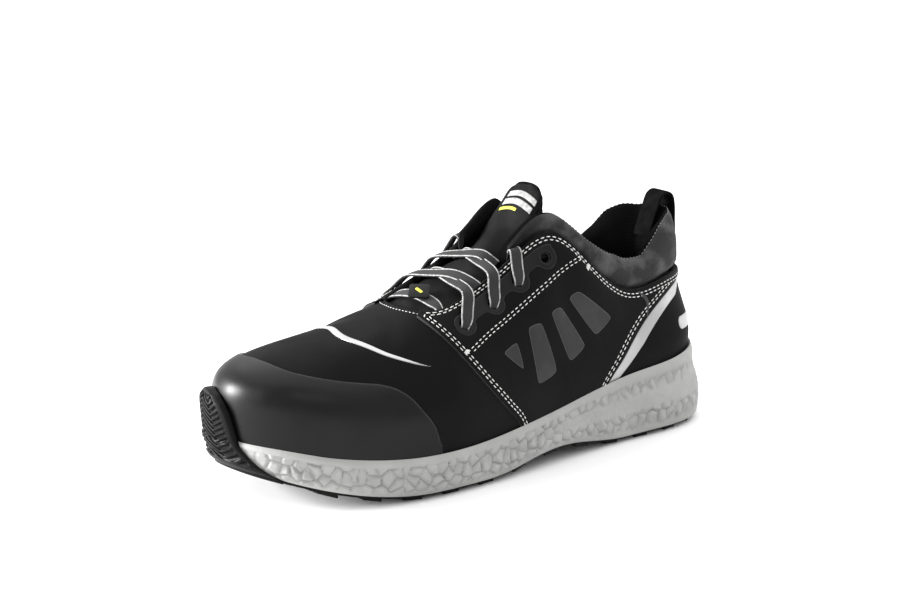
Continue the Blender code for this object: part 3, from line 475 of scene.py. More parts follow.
@dataclass
class Last:
    """The outer surface of the upper over the last, and the outline that the sole follows."""

    length: float = 0.288
    ball: float = 0.096
    heel: float = 0.067
    toe: float = 0.049
    collar: float = 0.081
    instep: float = 0.1145
    throat: float = 0.040
    heel_stack: float = 0.0415
    forefoot_stack: float = 0.0220
    toe_stack: float = 0.034
    toe_spring: float = 0.0165
    arch_rise: float = 0.0055
    heel_bevel: float = 0.003
    flare: float = 0.0053
    cup_depth: float = 0.007
    plate: float = 0.0012
    lug: float = 0.0016
    gap: float = 0.0003
    columns_per_station: int = 48
    rows: int = 160
    shift: Array = field(default_factory=lambda: np.zeros(3))

    def __post_init__(self) -> None:
        """Works out the surface as a fine grid of points and normals, in the shared frame."""
        self.stations = self._stations()
        self.count = len(self.stations)
        self.control = spline_control(np.array(self.stations, float))
        self.shift = self._shift()
        steps = self.count * self.columns_per_station
        self.u_grid = np.arange(steps + 1) / self.columns_per_station
        lines = self._profiles(self.u_grid)
        spans = np.linalg.norm(np.diff(lines, axis=0), axis=2)
        along = np.vstack([np.zeros(steps + 1), np.cumsum(spans, axis=0)])
        self.wall = along[-1]
        shares = np.linspace(0, 1, self.rows + 1)
        self.grid = np.empty((steps + 1, self.rows + 1, 3))
        for k in range(steps + 1):
            for axis in range(3):
                self.grid[k, :, axis] = np.interp(shares * along[-1, k], along[:, k], lines[:, k, axis])
        self.grid += self.shift
        wrapped = np.concatenate([self.grid[-3:-1], self.grid, self.grid[1:3]])
        across = np.gradient(wrapped, axis=0)[2:-2]
        up = np.gradient(self.grid, axis=1)
        self.normals = -unit(np.cross(across, up))
        self.relief = np.zeros(self.grid.shape[:2])

    def _stations(self) -> list[Station]:
        """One row per station: feather line, rim, wall, lean, shoulder and the slope at the rim.

        Returns:
            The stations, from the heel round to it again.
        """
        long, ball, heel, throat = self.length, self.ball, self.heel, self.throat
        toe, collar, instep = self.toe, self.collar, self.instep
        outlines = (
            # heel back, then the outer side
            (0.018 * long, 0.000, 0.037 * long, 0.000, 1.000 * collar),
            (0.047 * long, 0.335 * heel, 0.062 * long, 0.255 * heel, 0.994 * collar),
            (0.128 * long, 0.485 * heel, 0.138 * long, 0.415 * heel, 0.982 * collar),
            (0.236 * long, 0.515 * heel, 0.226 * long, 0.448 * heel, 0.975 * collar),
            (0.340 * long, 0.391 * ball, 0.316 * long, 0.322 * ball, 0.846 * instep),
            (0.420 * long, 0.422 * ball, 0.390 * long, 0.610 * throat, 1.000 * instep),
            (0.521 * long, 0.464 * ball, 0.470 * long, 0.510 * throat, 0.905 * instep),
            (0.635 * long, 0.495 * ball, 0.556 * long, 0.510 * throat, 0.798 * instep),
            (0.760 * long, 0.479 * ball, 0.622 * long, 0.490 * throat, 0.738 * instep),
            (0.885 * long, 0.370 * ball, 0.652 * long, 0.290 * throat, 0.735 * instep),
            (0.966 * long, 0.187 * ball, 0.660 * long, 0.110 * throat, 0.738 * instep),
            # toe tip, then the inner side
            (1.000 * long, -0.073 * ball, 0.662 * long, -0.025 * throat, 0.738 * instep),
            (0.972 * long, -0.323 * ball, 0.660 * long, -0.160 * throat, 0.738 * instep),
            (0.896 * long, -0.458 * ball, 0.652 * long, -0.340 * throat, 0.735 * instep),
            (0.771 * long, -0.510 * ball, 0.622 * long, -0.510 * throat, 0.738 * instep),
            (0.646 * long, -0.495 * ball, 0.556 * long, -0.520 * throat, 0.798 * instep),
            (0.531 * long, -0.432 * ball, 0.470 * long, -0.520 * throat, 0.905 * instep),
            (0.427 * long, -0.359 * ball, 0.390 * long, -0.610 * throat, 1.000 * instep),
            (0.340 * long, -0.328 * ball, 0.316 * long, -0.310 * ball, 0.846 * instep),
            (0.236 * long, -0.470 * heel, 0.226 * long, -0.440 * heel, 0.975 * collar),
            (0.128 * long, -0.475 * heel, 0.138 * long, -0.415 * heel, 0.982 * collar),
            (0.047 * long, -0.330 * heel, 0.062 * long, -0.255 * heel, 0.994 * collar),
        )
        walls = (
            # heel back, then the outer side
            (0.22 * collar, 0.012 * ball, 0.045 * ball, 0.42 * collar, 86),
            (0.22 * collar, 0.012 * ball, 0.045 * ball, 0.42 * collar, 85),
            (0.22 * collar, 0.018 * ball, 0.037 * ball, 0.42 * collar, 82),
            (0.22 * collar, 0.022 * ball, 0.037 * ball, 0.44 * collar, 80),
            (0.20 * instep, 0.016 * ball, 0.042 * ball, 0.40 * instep, 72),
            (0.23 * instep, 0.016 * ball, 0.062 * ball, 0.52 * instep, 60),
            (0.25 * instep, 0.021 * ball, 0.083 * ball, 0.50 * instep, 52),
            (0.60 * toe, 0.021 * ball, 0.094 * ball, 1.06 * toe, 46),
            (0.64 * toe, 0.021 * ball, 0.135 * ball, 0.98 * toe, 30),
            (0.70 * toe, 0.021 * ball, 0.187 * ball, 0.95 * toe, 22),
            (0.73 * toe, 0.021 * ball, 0.229 * ball, 0.93 * toe, 20),
            # toe tip, then the inner side
            (0.74 * toe, 0.021 * ball, 0.239 * ball, 0.93 * toe, 20),
            (0.73 * toe, 0.021 * ball, 0.229 * ball, 0.93 * toe, 20),
            (0.70 * toe, 0.021 * ball, 0.187 * ball, 0.95 * toe, 22),
            (0.64 * toe, 0.021 * ball, 0.135 * ball, 0.98 * toe, 30),
            (0.60 * toe, 0.021 * ball, 0.094 * ball, 1.06 * toe, 46),
            (0.25 * instep, 0.021 * ball, 0.083 * ball, 0.50 * instep, 54),
            (0.23 * instep, 0.016 * ball, 0.052 * ball, 0.52 * instep, 64),
            (0.20 * instep, 0.016 * ball, 0.030 * ball, 0.40 * instep, 76),
            (0.22 * collar, 0.022 * ball, 0.030 * ball, 0.44 * collar, 80),
            (0.22 * collar, 0.018 * ball, 0.037 * ball, 0.42 * collar, 82),
            (0.22 * collar, 0.012 * ball, 0.045 * ball, 0.42 * collar, 85),
        )
        return [Station(*outline, *wall) for outline, wall in zip(outlines, walls)]

    def _sole_rows(self) -> list[SoleRow]:
        """Rim height and side steps of the midsole along the shoe.

        Returns:
            The rows, from heel to toe.
        """
        flare, heel, fore, toe = self.flare, self.heel_stack, self.forefoot_stack, self.toe_stack
        table = (
            (-0.05, 1.010 * heel, 0.50 * flare, 0.60 * flare, 1.40 * flare, 1.20 * flare),
            (0.00, 1.000 * heel, 0.50 * flare, 0.60 * flare, 1.35 * flare, 1.15 * flare),
            (0.12, 0.905 * heel, 0.50 * flare, 0.50 * flare, 1.15 * flare, 0.95 * flare),
            (0.24, 0.840 * heel, 0.50 * flare, 0.50 * flare, 1.00 * flare, 0.75 * flare),
            (0.34, 0.750 * heel, 0.50 * flare, 0.60 * flare, 0.95 * flare, 0.70 * flare),
            (0.42, 0.670 * heel, 0.50 * flare, 0.65 * flare, 0.90 * flare, 0.65 * flare),
            (0.52, 1.120 * fore, 0.50 * flare, 0.70 * flare, 0.90 * flare, 0.60 * flare),
            (0.64, 1.000 * fore, 0.50 * flare, 0.75 * flare, 0.90 * flare, 0.55 * flare),
            (0.77, 1.020 * fore, 0.50 * flare, 0.70 * flare, 0.85 * flare, 0.50 * flare),
            (0.89, 0.790 * toe, 0.48 * flare, 0.60 * flare, 0.65 * flare, 0.30 * flare),
            (0.97, 0.940 * toe, 0.45 * flare, 0.50 * flare, 0.45 * flare, -0.15 * flare),
            (1.05, 1.020 * toe, 0.45 * flare, 0.45 * flare, 0.20 * flare, -0.60 * flare),
        )
        return [SoleRow(*row) for row in table]

    def _shift(self) -> Array:
        """How far the shared frame lies from the last's own, read from the insole's packed box.

        Returns:
            The offset to add to every point.
        """
        u = np.arange(2 * self.count) / 2
        inset = 0.002 + 2 * 0.0006
        ring = self.feather(u) - self.outward(u) * inset
        low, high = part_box("insole")
        shift_x = (low.x + high.x) / 2 - (ring[:, 0].min() + ring[:, 0].max()) / 2
        shift_y = (low.y + high.y) / 2 - (ring[:, 1].min() + ring[:, 1].max()) / 2
        return np.array([shift_x, shift_y, 0.0])

    def sole_value(self, name: str, x: Array) -> Array:
        """The midsole's rim, ledge, neck, bulge or foot at a place along the last."""
        rows = self._sole_rows()
        return smooth_steps(x, [row.at * self.length for row in rows], [getattr(row, name) for row in rows])

    def side(self, x: Array, share: float) -> Array:
        """How far the midsole's side stands out, from its rim at share 0 to its foot at 1."""
        ledge, neck, bulge, foot = (self.sole_value(name, x) for name in SoleRow._fields[2:])
        steps = np.stack([0.7 * ledge, ledge, neck, 0.80 * bulge, bulge, 0.5 * (bulge + foot), foot])
        return smooth_steps(np.array(share), (0, 0.06, 0.26, 0.52, 0.74, 0.92, 1), steps)

    def bottom(self, x: Array) -> Array:
        """Height of the midsole's underside: flat at heel and ball, raised at arch, toe and heel edge.

        Args:
            x: Places along the last, in metres.

        Returns:
            The height at each x.
        """
        at = np.asarray(x, float) / self.length
        arch = np.clip((at - 0.24) / 0.36, 0, 1)
        toe = np.clip((at - 0.72) / 0.28, 0, 1.2)
        heel = np.clip((0.09 - at) / 0.10, 0, 1.2)
        lift = self.arch_rise * np.sin(math.pi * arch) ** 2 + self.toe_spring * toe**1.9
        lift = lift + self.heel_bevel * heel**2
        return self.plate + self.lug + self.gap + lift

    def floor(self, x: Array) -> Array:
        """Height of the recessed foot bed."""
        return self.sole_value("rim", x) - self.cup_depth

    def columns(self, u: Array) -> Array:
        """The station columns at places u, one row each."""
        return spline_at(self.control, np.asarray(u, float))

    def feather(self, u: Array) -> Array:
        """The feather line at places u, level, before the shift."""
        rows = self.columns(u)
        return np.stack([rows[..., 0], rows[..., 1], np.zeros(np.shape(u))], axis=-1)

    def outward(self, u: Array) -> Array:
        """The level direction square to the feather line, away from the foot."""
        along = unit(self.feather(np.asarray(u) + 0.02) - self.feather(np.asarray(u) - 0.02))
        return np.stack([-along[..., 1], along[..., 0], np.zeros(np.shape(u))], axis=-1)

    def _profiles(self, u: Array) -> Array:
        """Wall points from the feather line to the rim, for all places at once.

        Args:
            u: Places round the last, in stations.

        Returns:
            One row of points for each place.
        """
        row = Station(*self.columns(u).T)
        out, up = self.outward(u), np.array([0.0, 0.0, 1.0])
        foot = np.stack([row.x, row.y, self.floor(row.x) + self.gap], axis=-1)
        rim = np.stack([row.rim_x, row.rim_y, row.rim_z], axis=-1)
        reach = (foot - rim) * (1, 1, 0) + out * 0.012
        reach = unit(reach)
        slope = np.radians(row.slope)[:, None]
        mid = foot + up * (row.wall * 0.5)[:, None] + out * (row.lean * 0.5)[:, None]
        top = foot + up * row.wall[:, None] + out * row.lean[:, None]
        shoulder = foot + up * row.shoulder[:, None] - reach * row.inset[:, None]
        span = np.linalg.norm(shoulder - rim, axis=1)[:, None]
        near = rim + (reach * np.cos(slope) - up * np.sin(slope)) * span * 0.4
        control = np.stack([foot, foot, foot, mid, top, shoulder, near, rim, rim, rim])
        return spline_at(control, np.linspace(1, 8, 113))

    def _read(self, table: Array, u: Array, s: Array) -> Array:
        """A value of the fine grid at any places, between its points.

        Args:
            table: Values on the fine grid.
            u: Places round the last, in stations.
            s: Shares of the wall, 0 at the feather line and 1 at the rim.

        Returns:
            The value at each place.
        """
        x = np.mod(u, self.count) * self.columns_per_station
        y = np.clip(s, 0, 1) * self.rows
        i = np.clip(np.floor(x).astype(int), 0, len(self.u_grid) - 2)
        j = np.clip(np.floor(y).astype(int), 0, self.rows - 1)
        fx, fy = x - i, y - j
        if table.ndim == 3:
            fx, fy = fx[..., None], fy[..., None]
        low = table[i, j] * (1 - fx) + table[i + 1, j] * fx
        high = table[i, j + 1] * (1 - fx) + table[i + 1, j + 1] * fx
        return low * (1 - fy) + high * fy

    def at(self, u: Array, s: Array) -> Array:
        """Points of the surface."""
        u, s = np.broadcast_arrays(np.asarray(u, float), np.asarray(s, float))
        return self._read(self.grid, u, s)

    def normal(self, u: Array, s: Array) -> Array:
        """Directions square to the surface, away from the foot."""
        u, s = np.broadcast_arrays(np.asarray(u, float), np.asarray(s, float))
        return unit(self._read(self.normals, u, s))

    def over(self, u: Array, s: Array, height: Array) -> Array:
        """Points at a height over the creased surface."""
        u, s = np.broadcast_arrays(np.asarray(u, float), np.asarray(s, float))
        lift = np.asarray(height) + self._read(self.relief, u, s)
        return self.at(u, s) + self.normal(u, s) * lift[..., None]

    def wall_length(self, u: Array) -> Array:
        """Length of the wall from the feather line to the rim."""
        return np.interp(np.mod(u, self.count), self.u_grid, self.wall)

    def seat(self, u: Array) -> Array:
        """The share at which the wall leaves the midsole's cup.

        Args:
            u: Places round the last, in stations.

        Returns:
            The share at each place.
        """
        u = np.asarray(u, float)
        rim = self.sole_value("rim", self.columns(u)[..., 0]) + 2 * self.gap
        shares = np.linspace(0, 1, 81)
        heights = self.at(u.reshape(-1, 1), shares[None, :])[..., 2]
        found = [np.interp(z, line, shares) for z, line in zip(rim.ravel(), heights)]
        return np.array(found).reshape(u.shape)

    def nearest(self, points: Array, side: Side | None = None, level: bool = False) -> tuple[Array, Array]:
        """Places of the surface nearest to rough points.

        Args:
            points: Points in the last's own frame, before the shift.
            side: The side to look on, or both.
            level: Whether only x and z count.

        Returns:
            The places u and the shares s.
        """
        own = self.grid - self.shift
        half = self.count // 2 * self.columns_per_station
        start, stop = {None: (0, len(own)), Side.OUTER: (0, half), Side.INNER: (half, len(own))}[side]
        weight = np.array([1.0, 0.0 if level else 1.0, 1.0])
        u, s = [], []
        for point in np.asarray(points, float):
            off = (own[start:stop] - point) * weight
            i, j = np.unravel_index(np.argmin((off**2).sum(axis=2)), off.shape[:2])
            u.append((start + i) / self.columns_per_station)
            s.append(j / self.rows)
        return np.array(u), np.array(s)

    def walk(
        self, u: Array, s: Array, direction: Array, distance: float, steps: int = 4
    ) -> tuple[Array, Array]:
        """Places reached by walking a distance over the surface in a direction.

        Args:
            u: Places round the last, in stations.
            s: Shares of the wall, 0 at the feather line and 1 at the rim.
            direction: The way to walk, as a vector in space.
            distance: How far to walk, in metres.
            steps: How many steps are taken.

        Returns:
            The places u and s that were reached.
        """
        for _ in range(steps):
            du, ds = 0.02, 0.01
            along = (self.at(u + du, s) - self.at(u - du, s)) / (2 * du)
            rise = np.clip(s + ds, 0, 1) - np.clip(s - ds, 0, 1)
            up = (self.at(u, s + ds) - self.at(u, s - ds)) / rise[:, None]
            a, b, c = (along * along).sum(1), (along * up).sum(1), (up * up).sum(1)
            p, q = (along * direction).sum(1), (up * direction).sum(1)
            det = a * c - b * b
            u = u + (p * c - q * b) / det * distance / steps
            s = s + (q * a - p * b) / det * distance / steps
        return u, s

    def crease(self, lines: Iterable["Crease"]) -> None:
        """Presses soft troughs and raises soft ridges along the given lines.

        Args:
            lines: The creases and ridges.
        """
        for line in lines:
            seam = Seam.through(self, line.points, 40)
            distance, along = seam.distance(self.grid.reshape(-1, 3))
            fade = np.sin(np.clip(along / seam.length, 0, 1) * math.pi) ** 0.8
            shape = np.exp(-((distance / (line.width_mm * MM)) ** 2))
            self.relief += (-line.depth_mm * MM * shape * fade).reshape(self.relief.shape)


@dataclass(frozen=True)
class Crease:
    """One crease of the upper: places it passes, half width and depth. A negative depth is a ridge."""

    points: tuple[tuple[float, float], ...]
    width_mm: float
    depth_mm: float


@dataclass
class Seam:
    """A line on the upper's surface, as places and points about half a millimetre apart."""

    u: Array
    s: Array
    points: Array
    along: Array

    @property
    def length(self) -> float:
        """Its length."""
        return float(self.along[-1])

    @classmethod
    def through(cls, last: Last, places: Sequence[Sequence[float]], count: int | None = None) -> "Seam":
        """A smooth line through a few places u, s.

        Args:
            last: The surface that carries it.
            places: Places along the piece.
            count: How many points are wanted.

        Returns:
            The line.
        """
        places = np.asarray(places, float)
        steps = np.linspace(0, len(places) - 1, 60 * (len(places) - 1) + 1)
        curve = smooth_steps(steps, range(len(places)), places)
        return cls.along_places(last, curve[:, 0], curve[:, 1], 0.5 * MM if count is None else None, count)

    @classmethod
    def along_places(
        cls, last: Last, u: Array, s: Array, spacing: float | None = 0.5 * MM, count: int | None = None
    ) -> "Seam":
        """A line through many places, read again at an even spacing or as a number of points.

        Args:
            last: The surface that carries it.
            u: Places round the last, in stations.
            s: Shares of the wall, 0 at the feather line and 1 at the rim.
            spacing: Distance between points, in metres.
            count: How many points are wanted.

        Returns:
            The line.
        """
        points = last.at(u, s)
        along = np.concatenate([[0], np.cumsum(np.linalg.norm(np.diff(points, axis=0), axis=1))])
        total = along[-1]
        count = count or max(8, int(round(total / spacing)))
        even = np.linspace(0, total, count + 1)
        u, s = np.interp(even, along, u), np.interp(even, along, s)
        points = last.at(u, s)
        return cls(u, s, points, even)

    def distance(self, where: Array) -> tuple[Array, Array]:
        """Distance of each point from the line, and how far along the line it lies.

        Args:
            where: The points to measure.

        Returns:
            The distances, and the lengths along the line.
        """
        best = np.full(len(where), 1e9)
        place = np.zeros(len(where))
        for start in range(0, len(where), 20000):
            part = where[start : start + 20000]
            squares = ((part[:, None, :] - self.points[None, ::2, :]) ** 2).sum(axis=2)
            k = np.clip(np.argmin(squares, axis=1) * 2, 1, len(self.points) - 2)
            near = np.full(len(part), 1e9)
            where_along = np.zeros(len(part))
            for first in (k - 1, k):
                a, b = self.points[first], self.points[first + 1]
                t = np.clip(((part - a) * (b - a)).sum(1) / np.maximum(((b - a) ** 2).sum(1), 1e-12), 0, 1)
                gap = np.linalg.norm(part - a - (b - a) * t[:, None], axis=1)
                closer = gap < near
                near = np.where(closer, gap, near)
                step = self.along[first + 1] - self.along[first]
                where_along = np.where(closer, self.along[first] + t * step, where_along)
            best[start : start + 20000] = near
            place[start : start + 20000] = where_along
        return best, place

    def tangents(self) -> Array:
        """Directions along the line."""
        return unit(np.gradient(self.points, axis=0))

    def beside(self, last: Last, distance: float) -> "Seam":
        """The line at a distance to its left, seen from outside with the line running ahead."""
        left = np.cross(last.normal(self.u, self.s), self.tangents())
        u, s = last.walk(self.u, self.s, unit(left), distance)
        return Seam.along_places(last, u, np.clip(s, 0, 1))


def finish_object(
    bm: bmesh.types.BMesh, name: str, finish: str, closed: bool = True, sharp: float = 50
) -> bpy.types.Object:
    """A named object from a bmesh, dressed and riding on the shoe's body.

    Args:
        bm: The mesh, which is freed.
        name: The piece's name.
        finish: The name of its finish in the wardrobe.
        closed: Whether the mesh is a closed shell, whose faces are then turned outwards.
        sharp: Faces that meet at more than this angle, in degrees, show an edge.

    Returns:
        The object.
    """
    bmesh.ops.remove_doubles(bm, verts=bm.verts, dist=1e-6)
    if closed:
        bmesh.ops.recalc_face_normals(bm, faces=bm.faces)
        if bm.calc_volume(signed=True) < 0:
            bmesh.ops.reverse_faces(bm, faces=bm.faces)
    mesh = bpy.data.meshes.new(name)
    bm.to_mesh(mesh)
    bm.free()
    mesh.shade_smooth()
    mesh.set_sharp_from_angle(angle=math.radians(sharp))
    made = bpy.data.objects.new(name, mesh)
    bpy.context.scene.collection.objects.link(made)
    mesh.materials.append(WARDROBE.get(finish))
    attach(made, "root")
    triangles = sum(len(p.vertices) - 2 for p in mesh.polygons)
    LOG.info("%s: %d triangles", name, triangles)
    return made


def grid_mesh(rings: Array, uv_size: tuple[float, float], edge_mm: Array | None = None) -> bmesh.types.BMesh:
    """A sheet through rows of points, as a grid whose vertices are moved to them.

    Args:
        rings: Points by row, column and axis. A closed ring repeats its first point.
        uv_size: The lengths that the rows and the columns cover, for the UV map.
        edge_mm: Distance of each point from an edge or groove, kept as an attribute for the finish.

    Returns:
        The bmesh, with a UV map in metres.
    """
    rows, columns = rings.shape[:2]
    bm = bmesh.new()
    bmesh.ops.create_grid(bm, x_segments=rows - 1, y_segments=columns - 1, size=0.5)
    uv = bm.loops.layers.uv.new("UVMap")
    for face in bm.faces:
        for loop in face.loops:
            loop[uv].uv = ((loop.vert.co.x + 0.5) * uv_size[0], (loop.vert.co.y + 0.5) * uv_size[1])
    layer = bm.verts.layers.float.new("edge_mm")
    for vert in bm.verts:
        i = int(round((vert.co.x + 0.5) * (rows - 1)))
        j = int(round((vert.co.y + 0.5) * (columns - 1)))
        vert.co = rings[i, j]
        vert[layer] = 9.0 if edge_mm is None else edge_mm[i, j]
    return bm


def pole_rings(rings: Array, steps: Sequence[float] = (0.62, 0.0)) -> Array:
    """Rings with both ends drawn in to a point, so that the shell is closed and its ends are round.

    Args:
        rings: Rows of points, one for each section.
        steps: How wide each added ring is, as a share of the end ring.

    Returns:
        The rings with the ends added.
    """
    first, last = rings[0], rings[-1]
    start = [first.mean(axis=0) + (first - first.mean(axis=0)) * k for k in reversed(steps)]
    end = [last.mean(axis=0) + (last - last.mean(axis=0)) * k for k in steps]
    return np.concatenate([np.array(start), rings, np.array(end)])


def add_wall(obj: bpy.types.Object, thickness: float, lining: str | None = None) -> None:
    """Gives a sheet its thickness inwards, with another finish on its inner face if one is named.

    Args:
        obj: The sheet.
        thickness: How thick it becomes, in metres.
        lining: The finish of the inner face, if it has its own.
    """
    wall = obj.modifiers.new("wall", "SOLIDIFY")
    wall.thickness = thickness
    wall.offset = -1
    wall.use_even_offset = False
    if lining is not None:
        obj.data.materials.append(WARDROBE.get(lining))
        wall.material_offset = 1


@dataclass
class Patch:
    """A piece of the upper's surface, drawn flat in u and s, trimmed there and then raised into place."""

    last: Last
    u_range: tuple[float, float]
    s_range: tuple[float, float]
    cell: float = 1.1 * MM

    def __post_init__(self) -> None:
        """Lays the flat grid of cells about the given size."""
        u_mid = np.mean(self.u_range)
        s_mid = np.mean(self.s_range)
        span_u = np.linalg.norm(self.last.at(u_mid + 0.1, s_mid) - self.last.at(u_mid - 0.1, s_mid)) / 0.2
        wide = span_u * (self.u_range[1] - self.u_range[0])
        tall = float(self.last.wall_length(np.array(u_mid))) * (self.s_range[1] - self.s_range[0])
        self.bm = bmesh.new()
        columns, rows = max(4, int(wide / self.cell)), max(4, int(tall / self.cell))
        bmesh.ops.create_grid(self.bm, x_segments=columns, y_segments=rows, size=0.5)
        scale = (self.u_range[1] - self.u_range[0], self.s_range[1] - self.s_range[0], 1)
        bmesh.ops.scale(self.bm, vec=scale, verts=self.bm.verts)
        bmesh.ops.translate(self.bm, vec=(u_mid, s_mid, 0), verts=self.bm.verts)

    def places(self) -> tuple[Array, Array]:
        """The places u and s of its vertices."""
        flat = np.array([v.co[:] for v in self.bm.verts])
        return flat[:, 0], flat[:, 1]

    def trim(self, region: Field, level: float = 0.0, discard: bool = True) -> None:
        """Cuts the sheet along the line where a field has a level, and drops what lies below it.

        Args:
            region: A field over u and s, above the level inside the piece.
            level: The level of the cut.
            discard: Whether the part below the level is dropped, and not only scored.
        """
        u, s = self.places()
        values = region(u, s) - level
        near = 0.12 * self.cell
        values[np.abs(values) < near * 0.5] = 0.0
        self.bm.verts.ensure_lookup_table()
        self.bm.verts.index_update()
        on_line = [vert for vert, value in zip(self.bm.verts, values) if value == 0]
        crossing = []
        for edge in self.bm.edges:
            a, b = values[edge.verts[0].index], values[edge.verts[1].index]
            if a * b < 0:
                crossing.append((edge, edge.verts[0], a / (a - b)))
        for edge, vert, share in crossing:
            on_line.append(bmesh.utils.edge_split(edge, vert, share)[1])
        bmesh.ops.connect_verts(self.bm, verts=on_line)
        if discard:
            centres = np.array([face.calc_center_median()[:] for face in self.bm.faces])
            inside = region(centres[:, 0], centres[:, 1]) > level
            doomed = [face for face, keep in zip(self.bm.faces, inside) if not keep]
            bmesh.ops.delete(self.bm, geom=doomed, context="FACES")

    def raise_up(
        self,
        name: str,
        finish: str,
        height: Field,
        wall: float,
        edge: Field | None = None,
        lining: str | None = None,
    ) -> bpy.types.Object:
        """Moves the flat piece on to the surface and makes it an object.

        Args:
            name: The piece's name.
            finish: Its finish in the wardrobe.
            height: Height over the surface at each place.
            wall: Thickness given to it inwards.
            edge: Distance from its cut edge, kept as an attribute for the finish.
            lining: Finish of the inner face, if it differs.

        Returns:
            The object.
        """
        u, s = self.places()
        points = self.last.over(u, s, height(u, s))
        far = np.ones(len(u)) if edge is None else edge(u, s)
        uv = self.bm.loops.layers.uv.new("UVMap")
        for face in self.bm.faces:
            for loop in face.loops:
                loop[uv].uv = (loop.vert.co.x * 0.033, loop.vert.co.y * 0.085)
        layer = self.bm.verts.layers.float.new("edge_mm")
        for vert, point, value in zip(self.bm.verts, points, far):
            vert.co = point
            vert[layer] = value / MM
        bmesh.ops.reverse_faces(self.bm, faces=self.bm.faces)
        made = finish_object(self.bm, name, finish, closed=False)
        add_wall(made, wall, lining)
        return made


@dataclass
class Pattern:
    """The outlines of the upper's panels, drawn from the side, and the seams that they make."""

    last: Last
    corner: float = 0.0055
    cap_rows: tuple[tuple[float, float], ...] = (
        (0.700, 0.04), (0.701, 0.120), (0.700, 0.202), (0.705, 0.255), (0.711, 0.301), (0.724, 0.352),
        (0.739, 0.401), (0.750, 0.442), (0.763, 0.475), (0.780, 0.502), (0.802, 0.520), (0.830, 0.532),
        (0.858, 0.544), (0.900, 0.567), (0.929, 0.588), (0.940, 0.615), (0.946, 0.660), (0.946, 0.90),
    )
    front_rows: tuple[tuple[float, float], ...] = (
        (0.655, 0.80), (0.664, 0.715), (0.640, 0.60), (0.617, 0.51),
        (0.590, 0.42), (0.556, 0.325), (0.518, 0.224), (0.50, 0.08),
    )
    rear_rows: tuple[tuple[float, float], ...] = (
        (0.302, 0.08), (0.296, 0.25), (0.244, 0.405), (0.184, 0.535),
        (0.124, 0.625), (0.065, 0.665), (0.000, 0.680), (-0.06, 0.685),
    )

    def __post_init__(self) -> None:
        """Finds the seams on the surface."""
        cap = self._smooth(self.cap_rows)
        front = 1.2 * self.last.length
        self.cap_outline = np.vstack([cap, (front, cap[-1][1]), (front, cap[0][1])])
        sides = np.vstack([self._smooth(self.front_rows), self._smooth(self.rear_rows)])
        above = 1.3 * self.last.instep
        long = self.last.length
        self.quarter_outline = np.vstack([sides, (-0.06 * long, above), (0.655 * long, above)])
        half = self.last.count / 2
        self.cap_u = np.arange(7.0, 15.0, 0.01)
        self.cap_s = self._crossing(self.cap_u, self.cap_outline, leaving=True)
        on = self.cap_s > 0
        self.cap_seam = Seam.along_places(self.last, self.cap_u[on], self.even(self.cap_s[on], 5))
        self.quarter_s, self.front_seam, self.rear_seam = {}, {}, {}
        self.quarter_u = np.arange(0.0, 8.9, 0.01)
        for side in Side:
            places = self.quarter_u if side is Side.OUTER else self.last.count - self.quarter_u
            shares = self._crossing(places, self.quarter_outline, leaving=False)
            self.quarter_s[side] = shares
            ahead = (self.quarter_u > half / 2 - 1) & (shares > 0) & (shares < 1)
            behind = (self.quarter_u < half / 2 - 1) & (shares > 0) & (shares < 1)
            self.front_seam[side] = Seam.along_places(self.last, places[ahead], self.even(shares[ahead], 3))
            self.rear_seam[side] = Seam.along_places(self.last, places[behind], self.even(shares[behind], 3))

    def _smooth(self, rows: Sequence[Sequence[float]]) -> Array:
        """An outline's rows as a smooth curve, in the last's own frame."""
        points = np.array(rows) * (self.last.length, self.last.instep)
        return smooth_steps(np.linspace(0, len(rows) - 1, 8 * len(rows)), range(len(rows)), points)

    @staticmethod
    def even(values: Array, reach: int) -> Array:
        """The values, each averaged with its neighbours."""
        padded = np.pad(values, reach, mode="edge")
        return np.convolve(padded, np.ones(2 * reach + 1) / (2 * reach + 1), mode="valid")

    def _crossing(self, u: Array, outline: Array, leaving: bool) -> Array:
        """The share at which each column leaves an outline, or enters it for good.

        Args:
            u: Places round the last, in stations.
            outline: The outline, seen from the side.
            leaving: Whether the column starts inside it.

        Returns:
            One share for each column.
        """
        shares = np.linspace(0, 1, 401)
        points = self.last.at(u[:, None], shares[None, :]) - self.last.shift
        inside = in_polygon(points[..., 0], points[..., 2], outline)
        found = []
        for line in inside:
            if leaving:
                leaves = 1.2 if line.all() else shares[np.argmin(line)] - 0.00125
                found.append(leaves if line[0] else -0.2)
            elif not line[-1]:
                found.append(1.2)
            else:
                out = np.flatnonzero(~line)
                found.append(-0.2 if len(out) == 0 else shares[out[-1]] + 0.00125)
        return np.array(found)

    def in_cap(self, u: Array, s: Array) -> Array:
        """Distance from the toe cap's rear edge, positive on the cap."""
        side = np.sign(np.interp(u, self.cap_u, self.cap_s) - s)
        return self.cap_seam.distance(self.last.at(u, s))[0] * side

    def in_quarter(self, side: Side) -> Field:
        """Distance from a quarter's front and rear edges, positive on the quarter.

        Args:
            side: The outer or the inner side.

        Returns:
            The field.
        """

        def region(u: Array, s: Array) -> Array:
            own = u if side is Side.OUTER else self.last.count - u
            sign = np.sign(s - np.interp(own, self.quarter_u, self.quarter_s[side]))
            where = self.last.at(u, s)
            front, rear = self.front_seam[side].distance(where)[0], self.rear_seam[side].distance(where)[0]
            near = np.minimum(front, rear)
            return near * np.where(sign == 0, 1, sign)

        return region

    def in_panel(self, side: Side) -> Field:
        """Distance from the whole edge of a panel, rim included, with its front corner rounded.

        Args:
            side: The outer or the inner side.

        Returns:
            The field.
        """
        quarter, corner = self.in_quarter(side), self.corner

